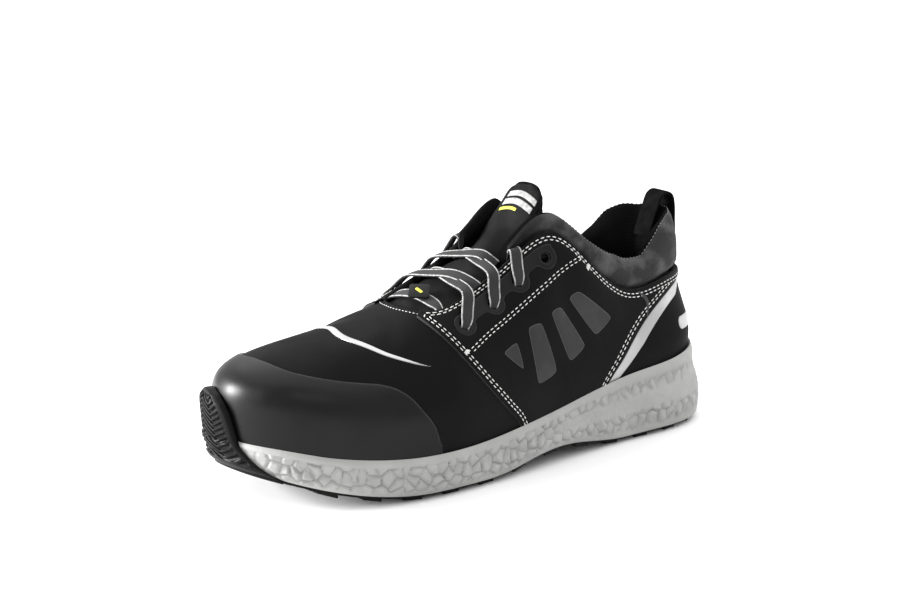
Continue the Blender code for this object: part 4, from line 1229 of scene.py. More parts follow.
        def region(u: Array, s: Array) -> Array:
            """Signed distance from the panel's edge."""
            away = quarter(u, s)
            rim = (1 - s) * self.last.wall_length(u) + 0.15 * MM
            near_front = np.where(self.place(u, side) > 6, corner, 0.1 * MM)
            turning = (away < near_front) & (rim < near_front)
            rounded = near_front - np.hypot(near_front - away, near_front - rim)
            return np.where(turning, rounded, np.minimum(away, rim))

        return region

    def place(self, u: Array, side: Side) -> Array:
        """A place on the outer side, or its partner on the inner side."""
        return np.asarray(u, float) if side is Side.OUTER else self.last.count - np.asarray(u, float)

    def eyelets(self, side: Side) -> list[tuple[float, float]]:
        """Where the eyelets sit, front to back."""
        table = ((7.20, 0.0180), (6.50, 0.0160), (5.90, 0.0145), (5.22, 0.0125))
        places = [(float(self.place(u, side)), inset) for u, inset in table]
        return [(u, 1 - inset / float(self.last.wall_length(np.array(u)))) for u, inset in places]

    def eyelet_distance(self, side: Side) -> Field:
        """Distance from the nearest eyelet's centre on one side.

        Args:
            side: The outer or the inner side.

        Returns:
            The field.
        """
        centres = [self.last.at(u, s) for u, s in self.eyelets(side)]

        def distance(u: Array, s: Array) -> Array:
            where = self.last.at(u, s)
            return np.min([np.linalg.norm(where - centre, axis=1) for centre in centres], axis=0)

        return distance


@dataclass
class Upper:
    """The upper's base shell and its overlays."""

    last: Last
    pattern: Pattern
    wall: float = 0.002
    overlay: float = 0.0013
    eyelet_radius: float = 0.0023
    creases: tuple[Crease, ...] = (
        Crease(((8.6, 0.55), (9.2, 0.80), (10.4, 0.93)), 5.0, 0.5),
        Crease(((7.9, 0.50), (8.5, 0.75), (9.2, 0.96)), 6.0, -0.5),
        Crease(((13.4, 0.55), (12.8, 0.80), (11.6, 0.93)), 5.0, 0.5),
        Crease(((14.1, 0.50), (13.5, 0.75), (12.8, 0.96)), 6.0, -0.5),
        Crease(((4.1, 0.35), (4.6, 0.62), (5.0, 0.9)), 7.0, 0.6),
        Crease(((17.9, 0.35), (17.4, 0.62), (17.0, 0.9)), 7.0, 0.6),
    )

    def build(self) -> None:
        """Presses the creases into the last and builds the shell, the toe cap and the quarters."""
        self.last.crease(self.creases)
        shell = self._shell()
        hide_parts("upper")
        cap = self._cap()
        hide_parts("toe_cap")
        for side, node in ((Side.OUTER, "quarter_outer"), (Side.INNER, "quarter_inner")):
            quarter = self._quarter(side, node)
            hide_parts(node)

    def _shell(self) -> bpy.types.Object:
        """The base shell: one skin round the whole foot, holed by the eyelets and lined.

        Returns:
            The shell.
        """
        patch = Patch(self.last, (0.0, float(self.last.count)), (0.0, 1.0), 1.25 * MM)
        for side in Side:
            distance = self.pattern.eyelet_distance(side)
            patch.trim(lambda u, s, d=distance: d(u, s) - self.eyelet_radius)

        def flat(u: Array, s: Array) -> Array:
            """No height over the last."""
            return np.zeros(len(u))

        return patch.raise_up("upper_shell", "vamp", flat, self.wall, lining="lining")

    def _rounded(self, distance: Array, full: float, soft: float = 0.9 * MM) -> Array:
        """Height of an overlay near its cut edge, rising from just under the surface."""
        return -0.1 * MM + (full + 0.1 * MM) * np.sqrt(ease(distance / soft))

    def _cap(self) -> bpy.types.Object:
        """The toe cap overlay.

        Returns:
            The overlay.
        """
        patch = Patch(self.last, (7.2, 14.8), (0.02, 0.80), 1.2 * MM)
        patch.trim(self.pattern.in_cap)
        patch.trim(self.pattern.in_cap, 0.5 * MM, discard=False)
        patch.trim(self.pattern.in_cap, 1.1 * MM, discard=False)

        def height(u: Array, s: Array) -> Array:
            """The cap's height, thinner than the panels and softer at its edge."""
            return self._rounded(self.pattern.in_cap(u, s), self.overlay * 0.8, 1.4 * MM)

        return patch.raise_up("toe_cap_overlay", "cap", height, 0.9 * MM, edge=self.pattern.in_cap)

    def _quarter(self, side: Side, node: str) -> bpy.types.Object:
        """One side panel with its eyestay.

        Args:
            side: The outer or the inner side.
            node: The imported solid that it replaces.

        Returns:
            The panel.
        """
        region = self.pattern.in_panel(side)
        holes = self.pattern.eyelet_distance(side)
        span = sorted(self.pattern.place(np.array([0.003, 8.8]), side))
        patch = Patch(self.last, tuple(span), (0.02, 1.0), 1.15 * MM)
        patch.trim(region)
        patch.trim(lambda u, s: holes(u, s) - self.eyelet_radius)
        patch.trim(region, 0.45 * MM, discard=False)
        patch.trim(region, 1.0 * MM, discard=False)

        def edge(u: Array, s: Array) -> Array:
            """Distance from the nearest cut edge, the eyelets' included."""
            return np.minimum(region(u, s), holes(u, s) - self.eyelet_radius)

        def height(u: Array, s: Array) -> Array:
            """The panel's height."""
            return self._height(u, s, edge)

        return patch.raise_up(f"{node}_panel", "microfibre", height, 0.9 * MM, edge=edge)

    def _height(self, u: Array, s: Array, edge: Field) -> Array:
        """The panel's height: rounded at its cut edges and pressed in a little along its stitch rows."""
        away = edge(u, s)
        pressed = 0.22 * MM * np.exp(-(((away - 3.1 * MM) / (1.1 * MM)) ** 2))
        return self._rounded(away, self.overlay) - pressed


@dataclass
class Trims:
    """What is laid on the panels: grey windows, the eyestay film and the reflective shapes."""

    last: Last
    pattern: Pattern
    overlay: float = 0.0013
    film: float = 0.00028
    windows_mm: tuple[tuple[tuple[float, float], ...], ...] = (
        ((158.2, 63.1), (147.3, 67.0), (146.0, 52.5)),
        ((139.0, 72.3), (129.2, 73.6), (122.0, 47.2), (137.5, 43.3)),
        ((122.2, 77.3), (114.3, 79.0), (98.9, 55.9), (112.6, 49.9)),
        ((108.9, 82.1), (101.7, 85.0), (76.9, 66.5), (91.3, 59.0)),
    )
    crescent_mm: tuple[tuple[float, float, float], ...] = (
        (222.0, -15.0, 78.0), (226.8, 9.0, 77.6), (219.4, 27.8, 72.2), (196.1, 41.0, 63.4),
    )
    crescent_wide: float = 0.0044
    band_gap: float = 0.0009
    band_wide: tuple[float, float, float] = (0.0055, 0.0070, 0.0050)
    arc_mm: tuple[tuple[float, float, float], ...] = (
        (57.0, 30.0, 76.5), (51.0, 31.0, 70.5), (51.5, 31.5, 62.5),
    )
    arc_half: float = 0.95 * MM
    heel_bar_half: tuple[float, float] = (0.0430, 0.0034)
    heel_bar_z: float = 0.0540

    def build(self) -> None:
        """Builds every trim on both sides."""
        for side in Side:
            label = side.name.lower()
            for number, corners in enumerate(self.windows_mm):
                self._window(f"window_{label}_{number + 1}", np.array(corners) * MM, side)
            self._eyestay_film(f"eyestay_film_{label}", side)
            self._band(f"heel_band_{label}", side)
            self._arc(f"collar_arc_{label}", side)
        self._crescent()
        self._heel_bar()

    def _lay(
        self,
        name: str,
        finish: str,
        region: Field,
        u_range: Array,
        s_range: Array,
        under: float,
        cell: float = 0.6,
    ) -> None:
        """Lays a thin film over the surface where a field is positive.

        Args:
            name: The piece's name.
            finish: Its finish.
            region: Distance from its edge, positive inside.
            u_range: Places that it lies between.
            s_range: Shares that it lies between.
            under: Height of what it lies on.
            cell: Size of its cells in millimetres.
        """
        spread = (float(np.min(u_range)) - 0.12, float(np.max(u_range)) + 0.12)
        rise = (max(0.0, float(np.min(s_range)) - 0.05), min(1.0, float(np.max(s_range)) + 0.05))
        patch = Patch(self.last, spread, rise, cell * MM)
        patch.trim(region)
        patch.trim(region, 0.3 * MM, discard=False)

        def height(u: Array, s: Array) -> Array:
            """The film's height, rising softly from its edge."""
            return under - 0.05 * MM + self.film * np.sqrt(ease(region(u, s) / (0.5 * MM)))

        patch.raise_up(name, finish, height, 0.35 * MM, edge=region)

    def _drawn(self, corners: Array) -> Field:
        """Distance from the edge of a shape drawn from the side with its corners rounded.

        Args:
            corners: The corners of the outline.

        Returns:
            The field.
        """
        outline = corners
        for share in (0.10, 0.24, 0.25):
            ahead, back = np.roll(outline, -1, axis=0), 1 - share
            pairs = np.stack([back * outline + share * ahead, share * outline + back * ahead], axis=1)
            outline = pairs.reshape(-1, 2)
        starts, ends = outline, np.roll(outline, -1, axis=0)

        def region(u: Array, s: Array) -> Array:
            """Signed distance in the side view."""
            where = (self.last.at(u, s) - self.last.shift)[:, [0, 2]]
            steps = ends - starts
            t = ((where[:, None] - starts) * steps).sum(2) / np.maximum((steps**2).sum(1), 1e-15)
            away = where[:, None] - starts - steps * np.clip(t, 0, 1)[..., None]
            near = np.linalg.norm(away, axis=2).min(axis=1)
            return np.where(in_polygon(where[:, 0], where[:, 1], outline), near, -near)

        return region

    def _window(self, name: str, corners: Array, side: Side) -> None:
        """One grey window in a side panel."""
        points = np.stack([corners[:, 0], np.zeros(len(corners)), corners[:, 1]], axis=1)
        u, s = self.last.nearest(points, side, level=True)
        self._lay(name, "window", self._drawn(corners), u, s, self.overlay)

    def _eyestay_film(self, name: str, side: Side) -> None:
        """The glossier film round the eyelets, whose lower edge dips round each of them.

        Args:
            name: The piece's name.
            side: The outer or the inner side.
        """
        distance = self.pattern.eyelet_distance(side)
        eyelets = self.pattern.eyelets(side)
        places = np.array([u for u, s in eyelets])
        depths = np.array([(1 - s) * float(self.last.wall_length(np.array(u))) for u, s in eyelets])
        order = np.argsort(places)
        low, high = places.min() - 0.15, places.max() + 0.12

        def region(u: Array, s: Array) -> Array:
            """Signed distance from the film's edge."""
            depth = (1 - s) * self.last.wall_length(u)
            inset = np.interp(u, places[order], depths[order])
            strip = np.minimum(depth - 6.2 * MM, inset + 1.2 * MM - depth)
            strip = np.minimum(strip, np.minimum(u - low, high - u) * 33 * MM)
            round_eyelet = 6.0 * MM - distance(u, s)
            blend = 2.5 * MM
            mix = np.clip(0.5 + 0.5 * (round_eyelet - strip) / blend, 0, 1)
            joined = strip * (1 - mix) + round_eyelet * mix + blend * mix * (1 - mix)
            return np.minimum(np.minimum(joined, depth - 6.0 * MM), distance(u, s) - 3.0 * MM)

        shares = 1 - np.array([24 * MM, 5 * MM]) / self.last.wall_length(np.array(places.mean()))
        self._lay(name, "film", region, np.array([low - 0.15, high + 0.15]), shares, self.overlay)

    def _ribbon(self, seam: Seam, half: Profile) -> Field:
        """Distance from the edge of a ribbon along a line, given its half width by share of length.

        Args:
            seam: The line that it follows.
            half: Half width by share of the length.

        Returns:
            The field.
        """

        def region(u: Array, s: Array) -> Array:
            """Signed distance from the ribbon's edge."""
            near, along = seam.distance(self.last.at(u, s))
            return half(along / seam.length) - near

        return region

    def _crescent(self) -> None:
        """The reflective crescent across the vamp, just behind the toe cap."""
        u, s = self.last.nearest(np.array(self.crescent_mm) * MM, None)
        outer = list(zip(u, s))
        inner = [(self.last.count - a, b) for a, b in outer[1:] if self.last.count - a > u[0] + 0.5]
        places = sorted(outer + inner)
        seam = Seam.through(self.last, places, 160)

        def half(t: Array) -> Array:
            """Half width, tapering to nothing just before both ends."""
            return self.crescent_wide / 2 * (1 - np.abs(2 * t - 1) ** 1.7) - 0.10 * MM

        ends = np.array([p[0] for p in places]), np.array([p[1] for p in places])
        self._lay("vamp_crescent", "silver", self._ribbon(seam, half), *ends, 0.0, 0.7)

    def _band(self, name: str, side: Side) -> None:
        """The reflective band over the counter, just behind the side panel.

        Args:
            name: The piece's name.
            side: The outer or the inner side.
        """
        seam = self.pattern.rear_seam[side]
        inside = self.pattern.in_quarter(side)
        start, stop = 0.17, 0.98

        def region(u: Array, s: Array) -> Array:
            """Signed distance from the band's edge."""
            behind = -inside(u, s)
            _, along = seam.distance(self.last.at(u, s))
            t = along / seam.length
            wide = np.interp(t, (start, 0.28, 0.65, stop), (0.0, *self.band_wide))
            centre = self.band_gap + wide / 2
            return np.minimum(wide / 2 - np.abs(behind - centre), (t - start) * seam.length * 0.5)

        span = self.pattern.place(np.array([0.2, 4.6]), side)
        self._lay(name, "silver", region, span, np.array([0.0, 0.85]), 0.0, 0.7)

    def _arc(self, name: str, side: Side) -> None:
        """The short grey arc under the collar.

        Args:
            name: The piece's name.
            side: The outer or the inner side.
        """
        u, s = self.last.nearest(np.array(self.arc_mm) * MM, Side.OUTER)
        u = self.pattern.place(u, side)
        seam = Seam.through(self.last, list(zip(u, s)), 40)

        def half(t: Array) -> Array:
            """Half width, rounded off at both ends."""
            swell = np.clip(np.sin(math.pi * np.clip(t, 0.02, 0.98)), 0, 1)
            return self.arc_half * np.sqrt(swell) - 0.02 * MM

        self._lay(name, "window", self._ribbon(seam, half), u, s, self.overlay, 0.5)

    def _heel_bar(self) -> None:
        """The plain pale bar across the back of the heel."""
        half_long, half_high = self.heel_bar_half

        def region(u: Array, s: Array) -> Array:
            """Signed distance from the rounded bar's edge."""
            where = self.last.at(u, s) - self.last.shift
            turn = (np.mod(u + 11, 22) - 11) * 0.0265
            along = np.maximum(np.abs(turn) - (half_long - half_high), 0)
            return half_high - np.hypot(along, where[:, 2] - self.heel_bar_z)

        self._lay("heel_bar", "silver_bar", region, np.array([-1.8, 1.8]), np.array([0.02, 0.7]), 0.0, 0.6)


@dataclass(frozen=True)
class Thread:
    """One kind of stitch: its length, width, height and pitch, in millimetres."""

    long: float = 2.35
    wide: float = 0.62
    high: float = 0.50
    pitch: float = 3.15


@dataclass
class Stitching:
    """Every visible row of stitches, joined into a few pieces."""

    last: Last
    pattern: Pattern
    overlay: float = 0.0013
    corner: float = 0.0055
    row_insets: tuple[float, float] = (0.0024, 0.0041)
    counter_insets: tuple[float, float] = (0.0024, 0.0041)
    diagonal_mm: tuple[tuple[float, float, float], ...] = (
        (177.5, 39.6, 66.4), (159.2, 36.2, 74.3), (129.2, 33.2, 87.2), (99.3, 31.2, 100.0),
    )
    tack_mm: tuple[float, float, float] = (92.5, 31.6, 93.0)
    diagonal_reach: float = 0.0065
    vamp_depth: float = 0.0026

    def build(self) -> None:
        """Builds the rows of each side and the vamp's."""
        for side in Side:
            bm = bmesh.new()
            for row in self._rows(side):
                self._sew(bm, row, self.overlay - 0.10 * MM, Thread())
            self._bar_tacks(bm, side)
            finish_object(bm, f"stitching_{side.name.lower()}", "thread", sharp=80)
        bm = bmesh.new()
        u = np.arange(8.75, 13.3, 0.01)
        row = Seam.along_places(self.last, u, 1 - self.vamp_depth / self.last.wall_length(u))
        self._sew(bm, row, 0.0, Thread(1.45, 0.42, 0.36, 2.1))
        finish_object(bm, "stitching_vamp", "thread", sharp=80)

    def _rows(self, side: Side) -> list[Seam]:
        """Every double row on one side panel.

        Args:
            side: The outer or the inner side.

        Returns:
            The rows.
        """
        rows = [self._edge_row(side, inset) for inset in self.row_insets]
        inward = -side.value
        for inset in self.counter_insets:
            row = self.pattern.rear_seam[side].beside(self.last, inward * inset)
            depth = (1 - row.s) * self.last.wall_length(row.u)
            keep = depth > 4.4 * MM
            rows.append(Seam.along_places(self.last, row.u[keep], row.s[keep]))
        corners = np.array(self.diagonal_mm) * MM
        corners[-1] += unit(corners[-1] - corners[-2]) * self.diagonal_reach
        steps = np.linspace(0, len(corners) - 1, 13)
        straight = np.stack([np.interp(steps, range(len(corners)), corners[:, k]) for k in range(3)], axis=1)
        u, s = self.last.nearest(straight, Side.OUTER)
        even = Pattern.even
        line = Seam.through(self.last, list(zip(self.pattern.place(even(u, 1), side), even(s, 1))), 150)
        for inset in (-0.85 * MM, 0.85 * MM):
            rows.append(line.beside(self.last, inset))
        return rows

    def _edge_row(self, side: Side, inset: float) -> Seam:
        """A row up inside a panel's front edge, round its corner and along the rim to the heel.

        Args:
            side: The outer or the inner side.
            inset: Distance from the edge.

        Returns:
            The row.
        """
        front = self.pattern.front_seam[side].beside(self.last, -side.value * inset)
        low = (1 - front.s) * self.last.wall_length(front.u) > self.corner
        rim_u = self.pattern.place(np.arange(8.7, 0.0, -0.01), side)
        rim_s = 1 - inset / self.last.wall_length(rim_u)
        rear = self.pattern.place(rim_u, side) < 6
        inside = self.pattern.in_quarter(side)(rim_u, rim_s)
        back = np.where(rear, inside > 0.9 * MM, inside > self.corner)
        u = np.concatenate([front.u[low], rim_u[back]])
        s = np.concatenate([front.s[low], rim_s[back]])
        points = self.last.at(u, s)
        along = np.concatenate([[0], np.cumsum(np.linalg.norm(np.diff(points, axis=0), axis=1) + 1e-7)])
        even = np.arange(0, along[-1], 0.5 * MM)
        places = smooth_steps(even, along, np.stack([u, s], axis=1))
        return Seam.along_places(self.last, places[:, 0], places[:, 1])

    def _bar_tacks(self, bm: bmesh.types.BMesh, side: Side) -> None:
        """The two knots where the diagonal rows end.

        Args:
            bm: The mesh to add to.
            side: The outer or the inner side.
        """
        spots = np.array([self.diagonal_mm[0], self.tack_mm]) * MM
        u, s = self.last.nearest(spots, Side.OUTER)
        for place, share in zip(self.pattern.place(u, side), s):
            for k in range(5):
                step = (k - 2) * 0.55 * MM
                a, b = self.last.walk(
                    np.array([place]), np.array([share]), np.array([[0.75, 0.0, -0.66]]), step, 1
                )
                u, s = np.array([a[0], a[0] + 0.12]), np.array([b[0], b[0] + 0.022])
                row = Seam.along_places(self.last, u, s)
                self._sew(bm, row, self.overlay - 0.05 * MM, Thread(2.9, 0.62, 0.75, 4.0))

    def _sew(self, bm: bmesh.types.BMesh, row: Seam, height: float, thread: Thread) -> None:
        """Lays one small rounded stitch at each pitch along a row.

        Args:
            bm: The mesh to add to.
            row: The line of stitches.
            height: How far the stitches stand off the last.
            thread: The stitch's size and shape.
        """
        count = max(1, int(row.length / (thread.pitch * MM)))
        along = (np.arange(count) + 0.5) * row.length / count
        u, s = np.interp(along, row.along, row.u), np.interp(along, row.along, row.s)
        points = self.last.over(u, s, height)
        normals = self.last.normal(u, s)
        tangents = row.tangents()[np.clip(np.searchsorted(row.along, along), 0, len(row.along) - 1)]
        for k, (point, normal, tangent) in enumerate(zip(points, normals, tangents)):
            tangent = tangent + normal * 0.05 * (1 if k % 2 else -1)
            side = unit(np.cross(normal, tangent))
            ahead = np.cross(side, normal)
            axes = np.stack([
                ahead * thread.long / 2 * MM, side * thread.wide / 2 * MM, normal * thread.high / 2 * MM,
            ], axis=1)
            matrix = Matrix(axes.tolist()).to_4x4()
            matrix.translation = Vector(point)
            bmesh.ops.create_uvsphere(bm, u_segments=7, v_segments=5, radius=1, matrix=matrix)


@dataclass
class Midsole:
    """The foam midsole with its smooth lip and cobbled side."""

    last: Last
    columns_per_station: int = 40
    cell_mm: float = 6.6
    groove_mm: float = 1.25
    relief_mm: float = 1.15
    tilt_mm: float = 1.60
    grain_mm: float = 0.10
    seed: int = 7

    def build(self) -> None:
        """Builds the midsole."""
        count = self.last.count * self.columns_per_station
        u = np.arange(count + 1) / self.columns_per_station
        rings = [self._bed(u, fill) for fill in (1.0, 0.66, 0.33, 0.0)]
        seat = self.last.at(u, self.last.seat(u))
        out = self.last.outward(u)
        lip = seat + out * 1.5 * self.last.gap
        lip[:, 2] -= 2 * self.last.gap + 0.0004
        rings.append(lip)
        shares = np.concatenate([[0.0, 0.02, 0.045], np.linspace(0.075, 0.97, 40), [0.985, 1.0]])
        side, groove_mm = self._side(u, shares)
        before = len(rings)
        rings += side
        under = rings[-1]
        rings += [self._inward(under, fill, self.last.bottom) for fill in (0.04, 0.35, 0.7, 1.0)]
        edge_mm = np.full((len(rings), len(u)), 9.0)
        # Through this attribute the foam's colour darkens near the grooves: painted shade in the grooves.
        edge_mm[before : before + len(side)] = groove_mm
        around = float(np.linalg.norm(np.diff(under, axis=0), axis=1).sum())
        bm = grid_mesh(np.array(rings), (0.12, around), edge_mm)
        sole = finish_object(bm, "midsole_foam", "foam", sharp=70)
        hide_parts("midsole")

    def _inward(self, ring: Array, fill: float, height: Callable[[Array], Array]) -> Array:
        """A ring drawn towards the shoe's middle line, at the height that a function gives.

        Args:
            ring: The ring to start from.
            fill: Share of the way in to the middle line.
            height: The height at each place along the shoe.

        Returns:
            The ring, drawn in.
        """
        spine = (ring + ring[::-1]) / 2
        moved = ring * (1 - fill) + spine * fill
        moved[:, 2] = height(moved[:, 0] - self.last.shift[0])
        return moved

    def _bed(self, u: Array, fill: float) -> Array:
        """A ring of the recessed foot bed."""
        ring = self.last.at(u, 0) + self.last.outward(u) * 1.5 * self.last.gap
        return self._inward(ring, fill, lambda x: self.last.floor(x) - 0.0001)

    def _side(self, u: Array, shares: Array) -> tuple[list[Array], Array]:
        """The rings of the side with its cobbles, and each point's distance from a groove in millimetres.

        Args:
            u: Places round the last, in stations.
            shares: Shares of the height or of the wall.

        Returns:
            The rings, and the distances.
        """
        rows = self.last.columns(u)
        x, y = rows[:, 0], rows[:, 1]
        out = self.last.outward(u)
        rim = self.last.sole_value("rim", x)
        low = self.last.bottom(x + out[:, 0] * self.last.side(x, 1.0))
        base = np.stack([x, y, np.zeros(len(x))], axis=1) + self.last.shift
        rings = []
        for share in shares:
            ring = base + out * self.last.side(x, share)[:, None]
            ring[:, 2] = rim + (low - rim) * share
            rings.append(ring)
        girth = np.concatenate([[0], np.cumsum(np.linalg.norm(np.diff(rings[-8], axis=0), axis=1))])
        depth = (rim - low)[None, :] * shares[:, None]
        at = x / self.last.length
        relief, groove_mm = self._relief(np.broadcast_to(girth, depth.shape), depth, at, shares, girth[-1])
        along = unit(np.gradient(np.array(rings), axis=1))
        down = unit(np.gradient(np.array(rings), axis=0))
        normal = unit(np.cross(down, along))
        normal *= np.sign((normal * out[None]).sum(axis=2, keepdims=True))
        grown = np.array(rings) + normal * relief[..., None]
        return list(grown), groove_mm

    def _relief(
        self, girth: Array, depth: Array, at: Array, shares: Array, around: float
    ) -> tuple[Array, Array]:
        """Height of the cobbles and the grain over the smooth side, in metres.

        Args:
            girth: Length round the shoe at each point.
            depth: Depth below the rim at each point.
            at: Share of the shoe's length at each column.
            shares: Share of the side's height of each ring.
            around: Length once round.

        Returns:
            The height at each point, and its distance from a groove in millimetres.
        """
        random = np.random.default_rng(self.seed)
        cell = self.cell_mm * MM
        count = int(around / cell)
        tall = float(depth.max())
        seeds = []
        for row in range(int(tall / (cell * 0.82)) + 2):
            for k in range(count):
                jitter = random.uniform(-0.42, 0.42, 2) * cell
                along, down = (k + 0.5 * (row % 2)) * around / count, (row - 0.1) * cell * 0.82
                seeds.append((along + jitter[0], down + jitter[1]))
        seeds = np.array(seeds)
        tilts = random.normal(0, 1, (len(seeds), 2)) * self.tilt_mm / self.cell_mm
        rise = random.uniform(-0.12, 0.12, len(seeds)) * MM
        points = np.stack([girth.ravel(), depth.ravel()], axis=1)
        height, groove = np.zeros(len(points)), np.zeros(len(points))
        for start in range(0, len(points), 4000):
            part = points[start : start + 4000]
            off = part[:, None] - seeds[None]
            off[..., 0] = (off[..., 0] + around / 2) % around - around / 2
            near = np.argsort((off**2).sum(2), axis=1)[:, :2]
            index = np.arange(len(part))
            first, second = off[index, near[:, 0]], off[index, near[:, 1]]
            edge = ((second**2).sum(1) - (first**2).sum(1)) / 2 / np.maximum(
                np.linalg.norm(seeds[near[:, 0]] - seeds[near[:, 1]], axis=1) % around, 1e-6
            )
            crown = ease(edge / (self.groove_mm * MM)) - 1
            facet = np.clip((first * tilts[near[:, 0]]).sum(1) + rise[near[:, 0]], -0.6 * MM, 0.6 * MM)
            height[start : start + 4000] = crown * self.relief_mm * MM + facet * (1 + crown)
            groove[start : start + 4000] = edge / MM
        height, groove = height.reshape(girth.shape), groove.reshape(girth.shape)
        mask = self._mask(at[None, :], shares[:, None])
        height = height * mask + self._grain(girth, at, shares, random)
        return height, np.where(mask > 0.3, groove + 1 - mask, 9.0)

    def _mask(self, at: Array, share: Array) -> Array:
        """Where cobbles show: one field at the forefoot, two rows at the heel, fading at the back.

        Args:
            at: Distance round the sole of each point.
            share: Share of the height.

        Returns:
            1 where cobbles show and 0 where they don't.
        """
        field = ease((share - 0.17) / 0.07) * ease((0.93 - share) / 0.05)
        upper = ease((share - 0.15) / 0.06) * ease((0.40 - share) / 0.07)
        lower = ease((share - 0.60) / 0.07) * ease((0.93 - share) / 0.05)
        heel = ease((0.46 - at) / 0.10)
        shown = field * (1 - heel) + np.maximum(0.85 * upper, lower) * heel
        return shown * (0.15 + 0.85 * ease((at - 0.015) / 0.10)) * (1 - 0.85 * ease((at - 0.965) / 0.03))

    def _grain(self, girth: Array, at: Array, shares: Array, random: np.random.Generator) -> Array:
        """The fine grain of the heel's middle zone.

        Args:
            girth: Distance round the sole.
            at: Distance round the sole of each point.
            shares: Shares of the height or of the wall.
            random: The generator of random numbers.

        Returns:
            The height of the grain.
        """
        share = shares[:, None]
        zone = ease((share - 0.34) / 0.08) * ease((0.70 - share) / 0.08) * ease((0.50 - at[None, :]) / 0.12)
        grain = random.normal(0, 1, girth.shape)
        grain[:, -1] = grain[:, 0]
        return grain * self.grain_mm * MM * zone


# The toe guard's width at shares of its height, as a share of the width named in Outsole.
GUARD_SHARES = (0, 0.2, 0.4, 0.6, 0.75, 0.87, 0.95, 1.0)
GUARD_WIDTHS = (2.6, 1.65, 1.25, 1.10, 0.98, 0.78, 0.52, 0.14)


